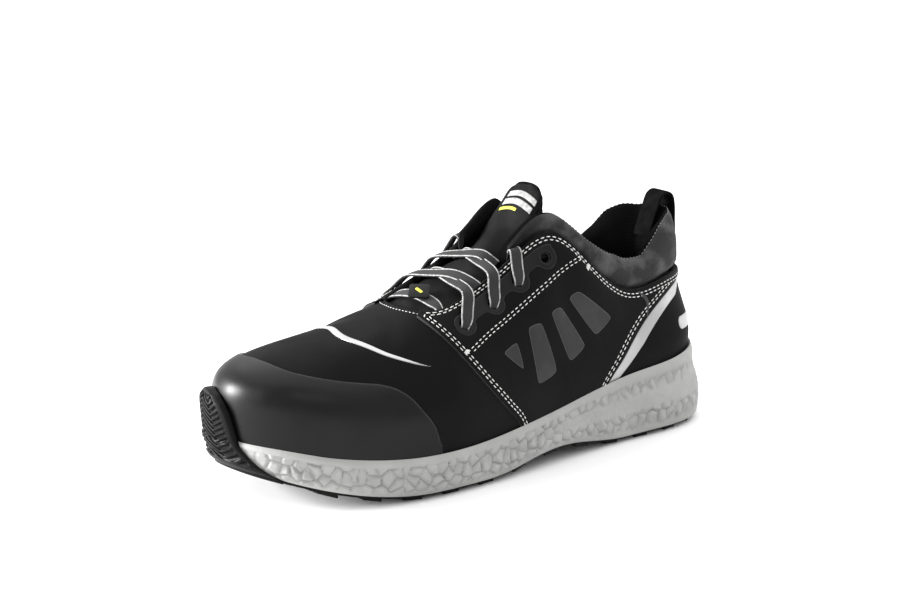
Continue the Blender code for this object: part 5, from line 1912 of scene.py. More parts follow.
@dataclass
class Outsole:
    """The rubber plate with its lugs, and the guard that it wraps up over the toe."""

    last: Last
    rows: int = 27
    lanes: int = 4
    inset: float = 0.0022
    guard_height: float = 0.0560
    guard_width: float = 0.030
    guard_thickness: float = 0.0050
    guard_turn: float = 0.5
    overlay: float = 0.0011
    frame_mm: float = 2.7
    rib_mm: float = 1.15
    rib_pitch_mm: float = 3.8
    rib_drop_mm: float = 6.5

    def build(self) -> None:
        """Builds the plate, the lugs and the guard as one piece."""
        bm = self._plate()
        self._lugs(bm)
        self._guard(bm)
        sole = finish_object(bm, "outsole_rubber", "rubber", sharp=42)
        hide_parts("outsole")

    def _foot(self, u: Array) -> Array:
        """The midsole's lowest ring, in the last's own frame.

        Args:
            u: Places round the last, in stations.

        Returns:
            The ring.
        """
        rows, out = self.last.columns(u), self.last.outward(u)
        x = rows[:, 0]
        ring = np.stack([x, rows[:, 1], np.zeros(len(x))], axis=1) + out * self.last.side(x, 1.0)[:, None]
        ring[:, 2] = self.last.bottom(ring[:, 0])
        return ring

    def _plate(self) -> bmesh.types.BMesh:
        """The thin plate under the midsole.

        Returns:
            The plate's mesh.
        """
        u = np.arange(self.last.count * 12 + 1) / 12
        edge = self._foot(u) - self.last.outward(u) * self.inset
        spine = (edge + edge[::-1]) / 2
        rings = []
        for fill, drop in ((1, 0.0), (0.5, 0.0), (0, 0.0), (0, 0.5), (0, 1.0), (0.5, 1.0), (1, 1.0)):
            ring = edge * (1 - fill) + spine * fill
            ring[:, 2] = self.last.bottom(ring[:, 0]) - self.last.gap - self.last.plate * drop
            rings.append(ring + self.last.shift)
        return grid_mesh(np.array(rings), (0.1, 0.7))

    def _lane_edges(self) -> tuple[Array, Array, Array]:
        """The x of each row of cells and the y of the plate's two edges there.

        Returns:
            The x of each row, and the y of the outer and the inner edge.
        """
        u = np.arange(self.last.count * 4 + 1) / 4
        edge = self._foot(u) - self.last.outward(u) * self.inset
        half = len(edge) // 2
        outer = edge[: half + 1][np.argsort(edge[: half + 1, 0])]
        inner = edge[half:][np.argsort(edge[half:, 0])]
        low, high = max(outer[0, 0], inner[0, 0]) + 0.001, min(outer[-1, 0], inner[-1, 0]) - 0.001
        turn = np.arange(self.rows) / (self.rows - 1)
        x = low + (high - low) * (0.85 * turn + 0.15 * (1 - np.cos(math.pi * turn)) / 2)
        return x, np.interp(x, outer[:, 0], outer[:, 1]), np.interp(x, inner[:, 0], inner[:, 1])

    def _lugs(self, bm: bmesh.types.BMesh) -> None:
        """A block on every other cell, cut by two grooves and with its edges softened.

        Args:
            bm: The mesh to add to.
        """
        x, outer, inner = self._lane_edges()
        for i in range(1, self.rows - 2):
            for j in range(self.lanes):
                if (i + j) % 2:
                    continue
                for part in range(3):
                    lanes = [(j + (part + k) / 3) / self.lanes for k in (0, 1)]
                    self._block(bm, x[i : i + 2], outer[i : i + 2], inner[i : i + 2], lanes)

    def _block(self, bm: bmesh.types.BMesh, x: Array, outer: Array, inner: Array, lanes: list[float]) -> None:
        """One lug between two rows and two lanes.

        Args:
            bm: The mesh to add to.
            x: The two rows that the lug lies between.
            outer: The plate's outer edge at both rows.
            inner: The plate's inner edge at both rows.
            lanes: Where the lug starts and stops across the sole.
        """
        verts = bmesh.ops.create_cube(bm, size=1.0)["verts"]
        for vert in verts:
            row = 0 if vert.co.x < 0 else 1
            lane = lanes[0] if vert.co.y < 0 else lanes[1]
            y = inner[row] + (outer[row] - inner[row]) * lane
            near_y = 0.0006 if vert.co.y < 0 else -0.0006
            near_x = 0.0010 if vert.co.x < 0 else -0.0010
            base = float(self.last.bottom(np.array(x[row]))) - self.last.gap - self.last.plate
            drop = -0.0003 if vert.co.z > 0 else self.last.lug
            vert.co = Vector((x[row] + near_x, y + near_y, base - drop)) + Vector(self.last.shift)
        edges = list(dict.fromkeys(edge for vert in verts for edge in vert.link_edges))
        bmesh.ops.bevel(bm, geom=edges, offset=0.00035, affect="EDGES", segments=1, profile=0.5, material=-1)

    def _half_width(self, share: Array) -> Array:
        """Half width of the guard, in stations, at a share of its height."""
        half = self.guard_width / 2 / (0.26 * self.last.ball)
        return half * np.interp(share, GUARD_SHARES, GUARD_WIDTHS)

    def _depth(self, across: Array, share: Array) -> Array:
        """How far the guard's face stands off its seat."""
        rise = np.interp(share, (0, 0.2, 0.45, 0.85, 1.0), (0.30, 0.55, 0.90, 1.0, 0.70))
        return self.guard_thickness * rise * (1 - 0.5 * np.abs(across) ** 4)

    def _guard_row(self, across: Array, share: float, out: Array) -> Array:
        """Points across the guard at one share of its height, at a distance off its seat.

        Args:
            across: Place across the piece.
            share: Share of the height.
            out: Distance off the seat.

        Returns:
            The points.
        """
        u = self.last.count / 2 + self.guard_turn + across * self._half_width(share)
        rows, away = self.last.columns(u), self.last.outward(u)
        x = rows[:, 0]
        rim = self.last.sole_value("rim", x)
        base = self.last.bottom(x + away[:, 0] * self.last.side(x, 1.0))
        z = base - self.last.gap + (self.guard_height - base + self.last.gap) * share
        turn = np.clip((rim - z) / (rim - base), 0, 1)
        seat = np.array([float(self.last.side(np.array(a), b)) for a, b in zip(x, turn)]) + self.last.gap
        shares = np.linspace(0, 1, 161)
        walls = self.last.at(u[:, None], shares[None, :])
        wall = np.array([
            [np.interp(level, line[:, 2], line[:, k]) for k in range(2)] for level, line in zip(z, walls)
        ]) - self.last.shift[:2]
        wall_out = ((wall - rows[:, :2]) * away[:, :2]).sum(1) + 2 * self.last.gap + self.overlay
        fade = np.clip((z - rim) / 0.004, 0, 1)
        seat = np.where(z > rim, np.maximum(seat * (1 - fade) + wall_out * fade, wall_out), seat)
        points = np.stack([x, rows[:, 1], z], axis=1) + away * (seat + self.last.gap + out)[:, None]
        return points + self.last.shift

    def _pattern_height(self, across: Array, share: float) -> Array:
        """The raised frame and the ribs in its recess, as a height over the guard's face.

        Args:
            across: Place across the piece.
            share: Share of the height.

        Returns:
            The height of each point.
        """
        wide = self._half_width(share) * 0.26 * self.last.ball * 1000
        tall = self.guard_height * 1000
        to_edge = np.minimum((1 - np.abs(across)) * wide, (1 - share) * tall * 0.9)
        inside = ease((to_edge - self.frame_mm) / 0.9) * ease((share - 0.10) / 0.05)
        zigzag = np.abs(np.mod(across * 1.1 + 0.5, 1.0) - 0.5) * 2
        phase = (share * tall + zigzag * self.rib_drop_mm) / self.rib_pitch_mm
        rib = ease(0.5 + 6.0 * (np.abs(np.mod(phase, 1.0) - 0.5) - 0.25))
        return (rib * self.rib_mm - 0.85) * inside * MM

    def _guard(self, bm: bmesh.types.BMesh) -> None:
        """The toe guard, from its foot under the midsole to its rounded top.

        Args:
            bm: The mesh to add to.
        """
        across = np.linspace(-1, 1, 121)
        rings = []
        for depth in (0.85, 0.4, 0.1):
            rings.append(self._guard_foot(across, depth * self.last.plate))
        for share in np.linspace(0, 1, 140):
            round_off = math.sqrt(max(0.0, 1 - max(0.0, (share - 0.97) / 0.03) ** 2))
            edge = np.sqrt(np.clip((1 - np.abs(across)) / 0.05, 0, 1))
            out = self._depth(across, share) * (0.35 + 0.65 * edge * (0.4 + 0.6 * round_off))
            outer = self._guard_row(across, share, out + self._pattern_height(across, share))
            inner = self._guard_row(across[::-1], share, np.zeros(len(across)))
            rings.append(np.vstack([outer, inner, outer[:1]]))
        closed = grid_mesh(pole_rings(np.array(rings), (0.0,)), (0.06, 0.09))
        mesh = bpy.data.meshes.new("guard")
        closed.to_mesh(mesh)
        closed.free()
        bm.from_mesh(mesh)
        bpy.data.meshes.remove(mesh)

    def _guard_foot(self, across: Array, depth: float) -> Array:
        """A ring of the guard's foot, at a depth under the midsole, reaching in over the plate.

        Args:
            across: Place across the piece.
            depth: Depth under the midsole.

        Returns:
            The ring.
        """
        ring = []
        for direction, reach in ((across, 0.0), (across[::-1], -0.006)):
            u = self.last.count / 2 + self.guard_turn + direction * self._half_width(0)
            rows, away = self.last.columns(u), self.last.outward(u)
            x = rows[:, 0]
            foot = self.last.side(x, 1.0)
            side = foot + reach if reach else foot + 2 * self.last.gap + self._depth(direction, 0)
            points = np.stack([x, rows[:, 1], np.zeros(len(x))], axis=1) + away * side[:, None]
            limit = np.minimum(points[:, 0], x + away[:, 0] * foot)
            points[:, 2] = self.last.bottom(limit) - self.last.gap - depth
            ring.append(points + self.last.shift)
        return np.vstack([*ring, ring[0][:1]])


def closed_ring(points: Array, count: int) -> Array:
    """A smooth closed ring through a few points, read at even steps and back at its start.

    Args:
        points: The points to pass through.
        count: How many points are wanted.

    Returns:
        The points of the ring.
    """
    wrapped = np.concatenate([points[-3:], points, points[:4]])
    along = np.concatenate([[0], np.cumsum(np.linalg.norm(np.diff(wrapped, axis=0), axis=1) + 1e-6)])
    even = np.linspace(along[3], along[3 + len(points)], count + 1)
    ring = smooth_steps(even, along, wrapped)
    ring[-1] = ring[0]
    return ring


def smooth_rows(rows: Array, steps: int) -> Array:
    """Rows of points with smooth ones added between them.

    Args:
        rows: Points by row, column and axis.
        steps: Steps that each gap between two rows is cut into.

    Returns:
        The finer rows.
    """
    gaps = np.linalg.norm(np.diff(rows, axis=0), axis=2).mean(axis=1) + 1e-6
    along = np.concatenate([[0], np.cumsum(gaps)])
    finer = np.concatenate([np.linspace(a, b, steps, endpoint=False) for a, b in zip(along[:-1], along[1:])])
    return smooth_steps(np.append(finer, along[-1]), along, rows)


def smooth_path(points: Array, count: int) -> Array:
    """Points at even places along a smooth curve through a few chosen ones."""
    points = np.asarray(points, float)
    return smooth_steps(np.linspace(0, len(points) - 1, count), range(len(points)), points)


def band_rings(path: Array, ups: Array, outline: Array, size: Array) -> Array:
    """Rings of a band along a path.

    Args:
        path: Points along its middle.
        ups: The direction that its broad side faces at each of them.
        outline: Its section, as sideways and upward shares of its half width and half thickness.
        size: Half width and half thickness, for each point or for all.

    Returns:
        One ring for each point of the path.
    """
    along = unit(np.gradient(path, axis=0))
    side = unit(np.cross(along, ups))
    up = np.cross(side, along)
    size = np.broadcast_to(size, (len(path), 2))
    wide = side[:, None] * (outline[None, :, 0] * size[:, :1])[..., None]
    high = up[:, None] * (outline[None, :, 1] * size[:, 1:])[..., None]
    return path[:, None] + wide + high


def round_outline(count: int, power: float = 2.0) -> Array:
    """A closed outline between an oval, at power 2, and a box with round corners, at more."""
    angle = np.linspace(0, 2 * math.pi, count + 1)
    c, s = np.cos(angle), np.sin(angle)
    return np.stack([np.sign(c) * np.abs(c) ** (2 / power), np.sign(s) * np.abs(s) ** (2 / power)], axis=1)


def join_tube(
    bm: bmesh.types.BMesh, rings: Array, slot: int = 0, uv_size: tuple[float, float] = (0.1, 0.016)
) -> None:
    """Adds a closed tube through rings to a mesh, in one of its material slots.

    Args:
        bm: The mesh to add to.
        rings: Rows of points, one for each section.
        slot: The material slot.
        uv_size: Length and girth of the piece, in metres.
    """
    tube = grid_mesh(pole_rings(rings), uv_size)
    for face in tube.faces:
        face.material_index = slot
    mesh = bpy.data.meshes.new("tube")
    tube.to_mesh(mesh)
    tube.free()
    bm.from_mesh(mesh)
    bpy.data.meshes.remove(mesh)


@dataclass
class Fit:
    """Where the soft parts sit on the last: the cuff's and the tongue's own rows."""

    last: Last
    wall: float = 0.002
    overlay: float = 0.0011
    soft_gap: float = 0.0006
    cuff_start: float = 0.490
    cuff_front: float = 0.0075
    cuff_ankle: float = 0.0155
    cuff_back: float = 0.030
    cuff_padding: float = 0.0100
    tongue_thickness: float = 0.0055
    tongue_top: float = 0.1355
    tongue_reach: float = 0.020
    tongue_arch: float = 0.0045

    def around(self, u: Array) -> Array:
        """Distance in stations from the heel back, on either side."""
        u = np.mod(u, self.last.count)
        return np.minimum(u, self.last.count - u)

    def height(self, u: Array) -> Array:
        """Height of the padded cuff above the rim.

        Args:
            u: Places round the last, in stations.

        Returns:
            The height at each place.
        """
        back, ankle, front = self.cuff_back, self.cuff_ankle, self.cuff_front
        places = (0, 0.8, 1.3, 1.65, 2.0, 2.4, 3.2, 4.4, 6.0)
        heights = (back, back, 0.98 * back, 0.88 * back, 0.68 * back, ankle, ankle, 0.75 * ankle, front)
        return np.interp(self.around(u), places, heights)

    def padding(self, u: Array) -> Array:
        """Thickness of the cuff's padding, thinner towards its front ends."""
        return self.cuff_padding * np.interp(self.around(u), (0, 3.5, 5.0, 6.0), (1, 0.85, 0.55, 0.38))

    def rim_place(self, x: float, side: Side) -> float:
        """The place on one side where the rim passes a given x of the last.

        Args:
            x: Places along the last, in metres.
            side: The outer or the inner side.

        Returns:
            The place round the last.
        """
        places = np.linspace(4.2, 9.0, 97) if side is Side.OUTER else np.linspace(
            self.last.count - 4.2, self.last.count - 9.0, 97
        )
        return float(np.interp(x, self.last.columns(places)[:, 2], places))

    def legs(self, x: float) -> dict[Side, Array]:
        """The tongue's two sides at one x of the throat, lowest points first.

        Args:
            x: Places along the last, in metres.

        Returns:
            The points of each side.
        """
        legs = {}
        for side in Side:
            u = self.rim_place(x, side)
            length = float(self.last.wall_length(np.array(u)))
            if x > self.cuff_start * self.last.length:
                shares = 1 - np.array([0.017, 0.010, 0.003]) / length
                legs[side] = self._offset(np.full(3, u), shares, -self.wall - self.soft_gap)
            else:
                clear = 1.08 * float(self.padding(np.array(u))) + self.wall + 2 * self.soft_gap
                inside = self.last.at(u, 1.0) - self.last.outward(np.array([u]))[0] * clear
                legs[side] = inside + np.array([[0, 0, -0.0145], [0, 0, -0.009], [0, 0, -0.0035]])
        return legs

    def _offset(self, u: Array, s: Array, distance: float) -> Array:
        """Points at a distance off the surface."""
        return self.last.at(u, s) + self.last.normal(u, s) * distance

    def over_tongue(self, x: float, across: float, above: float = 0.0) -> Array:
        """A point above the tongue's arch, from the outer rim at 0 to the inner rim at 1.

        Args:
            x: Places along the last, in metres.
            across: Place across the piece.
            above: Height above the arch.

        Returns:
            The point.
        """
        legs = self.legs(x)
        point = legs[Side.OUTER][-1] * (1 - across) + legs[Side.INNER][-1] * across
        rise = self.tongue_arch * math.sin(math.pi * min(1.0, max(0.0, across))) + 0.0008 + above
        return point + np.array([0, 0, rise])


@dataclass
class Cuff:
    """The padded collar cuff, grey outside and lined in black inside, with its seam of small stitches."""

    last: Last
    fit: Fit
    step: float = 0.08
    around_count: int = 52
    lining_from: float = 0.46
    folds: tuple[tuple[float, float, float], ...] = (
        # place, width in stations, depth in millimetres
        (0.9, 0.22, 0.9), (1.55, 0.28, -0.7), (2.35, 0.30, 0.9), (3.3, 0.40, -0.5), (4.35, 0.30, 0.6),
        (-0.8, 0.22, 0.9), (-1.5, 0.28, -0.7), (-2.3, 0.30, 0.8), (-3.2, 0.40, -0.5), (-4.3, 0.30, 0.6),
    )

    def build(self) -> None:
        """Builds the cuff and its inner seam."""
        places = np.arange(-6.0, 6.0 + self.step / 2, self.step)
        rings = np.array([closed_ring(self._ring(u), self.around_count) for u in places])
        rings = self._folded(places, rings)
        rings = pole_rings(rings, (0.85, 0.5, 0.0))
        from_front = np.pad(6.0 - np.abs(places), 3, mode="edge") * 33
        bm = grid_mesh(rings, (0.36, 0.09), np.repeat(from_front[:, None], rings.shape[1], axis=1))
        bm.verts.ensure_lookup_table()
        uv = bm.loops.layers.uv.active
        for face in bm.faces:
            share = np.mean([loop[uv].uv[1] for loop in face.loops]) / 0.09
            face.material_index = 1 if share > self.lining_from else 0
        cuff = finish_object(bm, "padded_cuff", "cuff", sharp=80)
        cuff.data.materials.append(WARDROBE.get("lining"))
        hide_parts("collar_cuff")
        self._seam(places, rings[3:-3])

    def _ring(self, u: float) -> Array:
        """The cuff's section at one place, from its tucked edge over the outside and back down inside.

        Args:
            u: Places round the last, in stations.

        Returns:
            The section's points.
        """
        last, fit = self.last, self.fit
        rim, lean = last.at(u, 1.0), last.normal(u, 1.0)
        out = last.outward(np.array([u]))[0]
        length = float(last.wall_length(np.array(u)))
        high, pad = float(fit.height(np.array(u))), float(fit.padding(np.array(u)))
        vertical = np.array([0, 0, 1.0])
        up = unit(unit(rim - last.at(u, 1 - 0.008 / length)) * 0.8 + vertical)
        clear = fit.soft_gap * (1.3 + 1.2 * max(0.0, abs(u) - 4.0))
        low = fit._offset(np.array(u), np.array(1 - 0.012 / length), -fit.wall - 1.6 * clear)
        edge = rim - lean * (fit.wall + clear) + up * clear
        thin = min(1.0, max(0.0, 2.0 - abs(u)))
        ring = [
            low,
            edge,
            rim + up * (clear + fit.overlay) - lean * 0.0008,
            rim + up * (0.34 * high + clear) + lean * 0.0013,
            rim + up * 0.70 * high + lean * 0.0008,
            rim + up * 0.94 * high - out * (0.22 - 0.12 * thin) * pad,
            rim + up * 1.00 * high - out * (0.50 - 0.25 * thin) * pad,
            rim + up * 0.91 * high - out * (0.85 - 0.35 * thin) * pad,
            rim + up * 0.50 * high - out * (1.05 * pad + fit.wall),
            rim - up * 0.006 - out * (0.95 * pad + fit.wall),
            low - out * 0.45 * pad,
        ]
        return np.array(ring)

    def _folded(self, places: Array, rings: Array) -> Array:
        """The rings with soft folds and unevenness pressed in, square to their surface.

        Args:
            places: Places along the piece.
            rings: Rows of points, one for each section.

        Returns:
            The rings with their folds.
        """
        across = np.gradient(rings, axis=0)
        along = np.gradient(rings, axis=1)
        normal = unit(np.cross(across, along))
        centre = rings.mean(axis=1, keepdims=True)
        normal *= np.sign(((rings - centre) * normal).sum(axis=(1, 2), keepdims=True))
        share = np.linspace(0, 1, rings.shape[1])[None, :]
        shown = np.sin(np.clip((share - 0.20) / 0.62, 0, 1) * math.pi) ** 0.7
        depth = np.zeros(rings.shape[:2])
        for place, width, press in self.folds:
            lean = place + 0.35 * (share - 0.5)
            depth -= press * np.exp(-(((places[:, None] - lean) / width) ** 2))
        around = places[:, None]
        depth += 0.22 * np.sin(around * 5.3 + 6 * share) + 0.16 * np.sin(around * 11.7 - 9 * share)
        return rings + normal * (depth * shown * 0.62 * MM)[..., None]

    def _seam(self, places: Array, rings: Array) -> None:
        """The row of small stitches where the lining meets the grey fabric.

        Args:
            places: Places along the piece.
            rings: Rows of points, one for each section.
        """
        at = int(round(self.lining_from * self.around_count))
        keep = np.abs(places) < 4.6
        line = rings[keep][:, at]
        centre = rings[keep].mean(axis=1)
        along = np.concatenate([[0], np.cumsum(np.linalg.norm(np.diff(line, axis=0), axis=1))])
        count = int(along[-1] / (2.3 * MM))
        bm = bmesh.new()
        for place in (np.arange(count) + 0.5) * along[-1] / count:
            point = np.array([np.interp(place, along, line[:, k]) for k in range(3)])
            middle = np.array([np.interp(place, along, centre[:, k]) for k in range(3)])
            ahead = np.array([np.interp(place + 0.001, along, line[:, k]) for k in range(3)])
            tangent = unit(ahead - point)
            normal = unit(point - middle)
            side = unit(np.cross(normal, tangent))
            up = np.cross(tangent, side)
            axes = np.stack([tangent * 0.8 * MM, side * 0.24 * MM, up * 0.26 * MM], axis=1)
            matrix = Matrix(axes.tolist()).to_4x4()
            matrix.translation = Vector(point + normal * 0.05 * MM)
            bmesh.ops.create_uvsphere(bm, u_segments=6, v_segments=4, radius=1, matrix=matrix)
        finish_object(bm, "cuff_seam", "dark_thread", sharp=80)


@dataclass
class Tongue:
    """The padded tongue with its bound edge and the plain bars woven on its front."""

    last: Last
    fit: Fit
    between: int = 5
    around_count: int = 56
    binding: float = 0.0011
    bars: tuple[tuple[str, str, tuple[float, float], tuple[float, float]], ...] = (
        # name, finish, share of the flap's height, share across
        ("tongue_bar_upper", "pale", (0.53, 0.62), (0.14, 0.72)),
        ("tongue_bar_middle", "pale", (0.40, 0.49), (0.16, 0.72)),
        ("tongue_bar_lower", "yellow", (0.315, 0.355), (0.42, 0.72)),
    )

    def build(self) -> None:
        """Builds the padded body, its binding and its bars."""
        coarse = np.array(self._rings())
        self.flap_rows = 5 * self.between
        rows = smooth_rows(coarse, self.between)
        fine = np.array([closed_ring(row, self.around_count) for row in rows])
        rings = self._quilted(fine)
        rings = pole_rings(rings, (0.93, 0.80, 0.55, 0.0))
        tongue = finish_object(grid_mesh(rings, (0.17, 0.10)), "padded_tongue", "tongue", sharp=80)
        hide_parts("tongue")
        self._bind(rows)
        for name, finish, tall, wide in self.bars:
            self._bar(name, finish, rows, tall, wide)

    def _section(self, line: Array, thick: float) -> Array:
        """A closed section from the tongue's outer line and its thickness, thinner at its two edges.

        Args:
            line: The tongue's outer line.
            thick: Its thickness, in metres.

        Returns:
            The section's points.
        """
        count = len(line)
        along = unit(np.array([line[min(count - 1, k + 1)] - line[max(0, k - 1)] for k in range(count)]))
        under = unit(np.cross(np.cross(np.array([[-0.5, 0, -0.86]]), along), along))
        under *= -np.sign(under[:, 2:])
        edge = np.sin(math.pi * (np.arange(count) + 0.6) / (count + 0.2))
        back = line + under * thick * (0.35 + 0.65 * edge)[:, None]
        return np.vstack([line, back[::-1]])

    def _rings(self) -> list[Array]:
        """The tongue's own sections, from under the vamp to its top.

        Returns:
            The sections, lowest first.
        """
        last, fit, thick = self.last, self.fit, self.fit.tongue_thickness
        tucks = (
            # places round the throat, and how far each lies below the rim, in millimetres
            ((8.9, 9.5, 10.0, 10.5, 11.0, 11.5, 12.0, 12.5, 13.1), (12, 12, 12, 12, 12, 12, 12, 12, 12)),
            ((8.5, 8.7, 9.1, 10.1, 11.0, 11.9, 12.9, 13.3, 13.5), (14, 8, 3, 1.5, 1.5, 1.5, 3, 8, 14)),
        )
        rings = []
        for k, (places, depths) in enumerate(tucks):
            u = np.array(places)
            shares = 1 - np.array(depths) * MM / last.wall_length(u)
            line = fit._offset(u, shares, -fit.wall - fit.soft_gap)
            rings.append(self._section(line, thick * (0.4 + 0.15 * k)))
        for k, share in enumerate((0.620, 0.580, 0.540, 0.512, 0.484, 0.430)):
            x = share * last.length
            legs = fit.legs(x)
            top = np.array([fit.over_tongue(x, across) for across in (0.2, 0.5, 0.8)])
            line = np.vstack([legs[Side.OUTER], top, legs[Side.INNER][::-1]])
            rings.append(self._section(line, thick * min(1.0, 0.55 + 0.15 * k)))
        start, centre = rings[-1][:9], rings[-1][4]
        flap = (
            # share of the flap's height, width, thickness
            (0.28, 0.97, 1.0), (0.55, 0.95, 1.0), (0.80, 0.91, 0.95), (0.95, 0.84, 0.75), (1.0, 0.74, 0.40),
        )
        for share, width, thin in flap:
            drop = (start[:, 2] - centre[2]) * (1 - 0.25 * share)
            sweep = fit.tongue_reach * share * (1 - 0.12 * np.abs(start[:, 1] - centre[1]) / last.throat)
            level = centre[2] + (fit.tongue_top - centre[2]) * share + drop
            across = centre[1] + (start[:, 1] - centre[1]) * width
            line = np.stack([start[:, 0] - sweep, across, level], axis=1)
            rings.append(self._section(line, thick * thin))
        return rings

    def _quilted(self, rings: Array) -> Array:
        """The tongue with the slight swell of its padding.

        Args:
            rings: Rows of points, one for each section.

        Returns:
            The sections, a little fuller.
        """
        across = np.gradient(rings, axis=0)
        along = np.gradient(rings, axis=1)
        normal = unit(np.cross(across, along))
        centre = rings.mean(axis=1, keepdims=True)
        normal *= np.sign(((rings - centre) * normal).sum(axis=(1, 2), keepdims=True))
        row = np.linspace(0, 1, rings.shape[0])[:, None]
        ring = np.linspace(0, 1, rings.shape[1])[None, :]
        swell = 0.25 * np.sin(row * 26 + 3 * np.sin(ring * 12)) + 0.18 * np.sin(row * 15 - ring * 21)
        return rings + normal * (swell * ease((row - 0.45) / 0.1) * MM)[..., None]

    def _bind(self, rows: Array) -> None:
        """The bound edge up one side of the flap, over its top and down the other.

        Args:
            rows: The tongue's sections.
        """
        flap = rows[-self.flap_rows - 3 :]
        up = (flap[:, 0] + flap[:, 17]) / 2
        down = (flap[:, 8] + flap[:, 9]) / 2
        top = (flap[-1, 1:8] + flap[-1, 16:9:-1]) / 2 + np.array([0, 0, 0.0004])
        path = smooth_path(np.vstack([up[::3], top[::2], down[::-1][::3]]), 150)
        bm = bmesh.new()
        ups = np.tile([0.9, 0.0, 0.43], (len(path), 1))
        join_tube(bm, band_rings(path, ups, round_outline(10), np.array([1, 1]) * self.binding))
        finish_object(bm, "tongue_binding", "webbing", sharp=80)

    def _bar(
        self, name: str, finish: str, rows: Array, tall: tuple[float, float], wide: tuple[float, float]
    ) -> None:
        """One plain woven bar on the flap's front.

        Args:
            name: The piece's name.
            finish: The piece's finish.
            rows: The tongue's sections.
            tall: Its start and stop, as shares of the height.
            wide: Its start and stop, as shares of the width.
        """
        flap = rows[-self.flap_rows - 1 :]
        front = flap[:, :9]
        level = np.linspace(*tall, 9) * (len(front) - 1)
        side = 8 * (0.5 + (np.linspace(*wide, 33) - 0.5) * 0.62)
        by_row = smooth_steps(level, range(len(front)), front)
        grid = np.array([smooth_steps(side, range(9), line) for line in by_row])
        normal = unit(np.cross(np.gradient(grid, axis=0), np.gradient(grid, axis=1)))
        normal *= np.sign(normal[..., :1])
        bm = grid_mesh(grid + normal * 0.00045, (0.004, 0.02))
        bm.normal_update()
        if sum(face.normal.x for face in bm.faces) < 0:
            bmesh.ops.reverse_faces(bm, faces=bm.faces)
        made = finish_object(bm, name, finish, closed=False)
        add_wall(made, 0.0004)


INSOLE_STEPS = (
    # share of the way in to the middle line, share of the thickness
    (1, 0), (0.5, 0), (0.02, 0), (0, 0.25), (0, 0.7), (0.015, 0.93), (0.05, 1), (0.35, 1), (0.7, 1), (1, 1),
)


@dataclass
class Insole:
    """The insole on the foot bed."""

    last: Last
    fit: Fit
    thickness: float = 0.004

    def build(self) -> None:
        """Builds the insole as a thin pad with a soft edge."""
        u = np.arange(self.last.count * 10 + 1) / 10
        inset = self.fit.wall + 2 * self.fit.soft_gap
        rows = self.last.columns(u)
        edge = np.stack([rows[:, 0], rows[:, 1], np.zeros(len(u))], axis=1) - self.last.outward(u) * inset
        spine = (edge + edge[::-1]) / 2
        rings = []
        for fill, lift in INSOLE_STEPS:
            ring = edge * (1 - fill) + spine * fill
            ring[:, 2] = self.last.floor(ring[:, 0]) + 1.5 * self.last.gap + self.thickness * lift
            rings.append(ring + self.last.shift)
        pad = finish_object(grid_mesh(np.array(rings), (0.1, 0.6)), "insole_pad", "lining", sharp=70)
        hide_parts("insole")


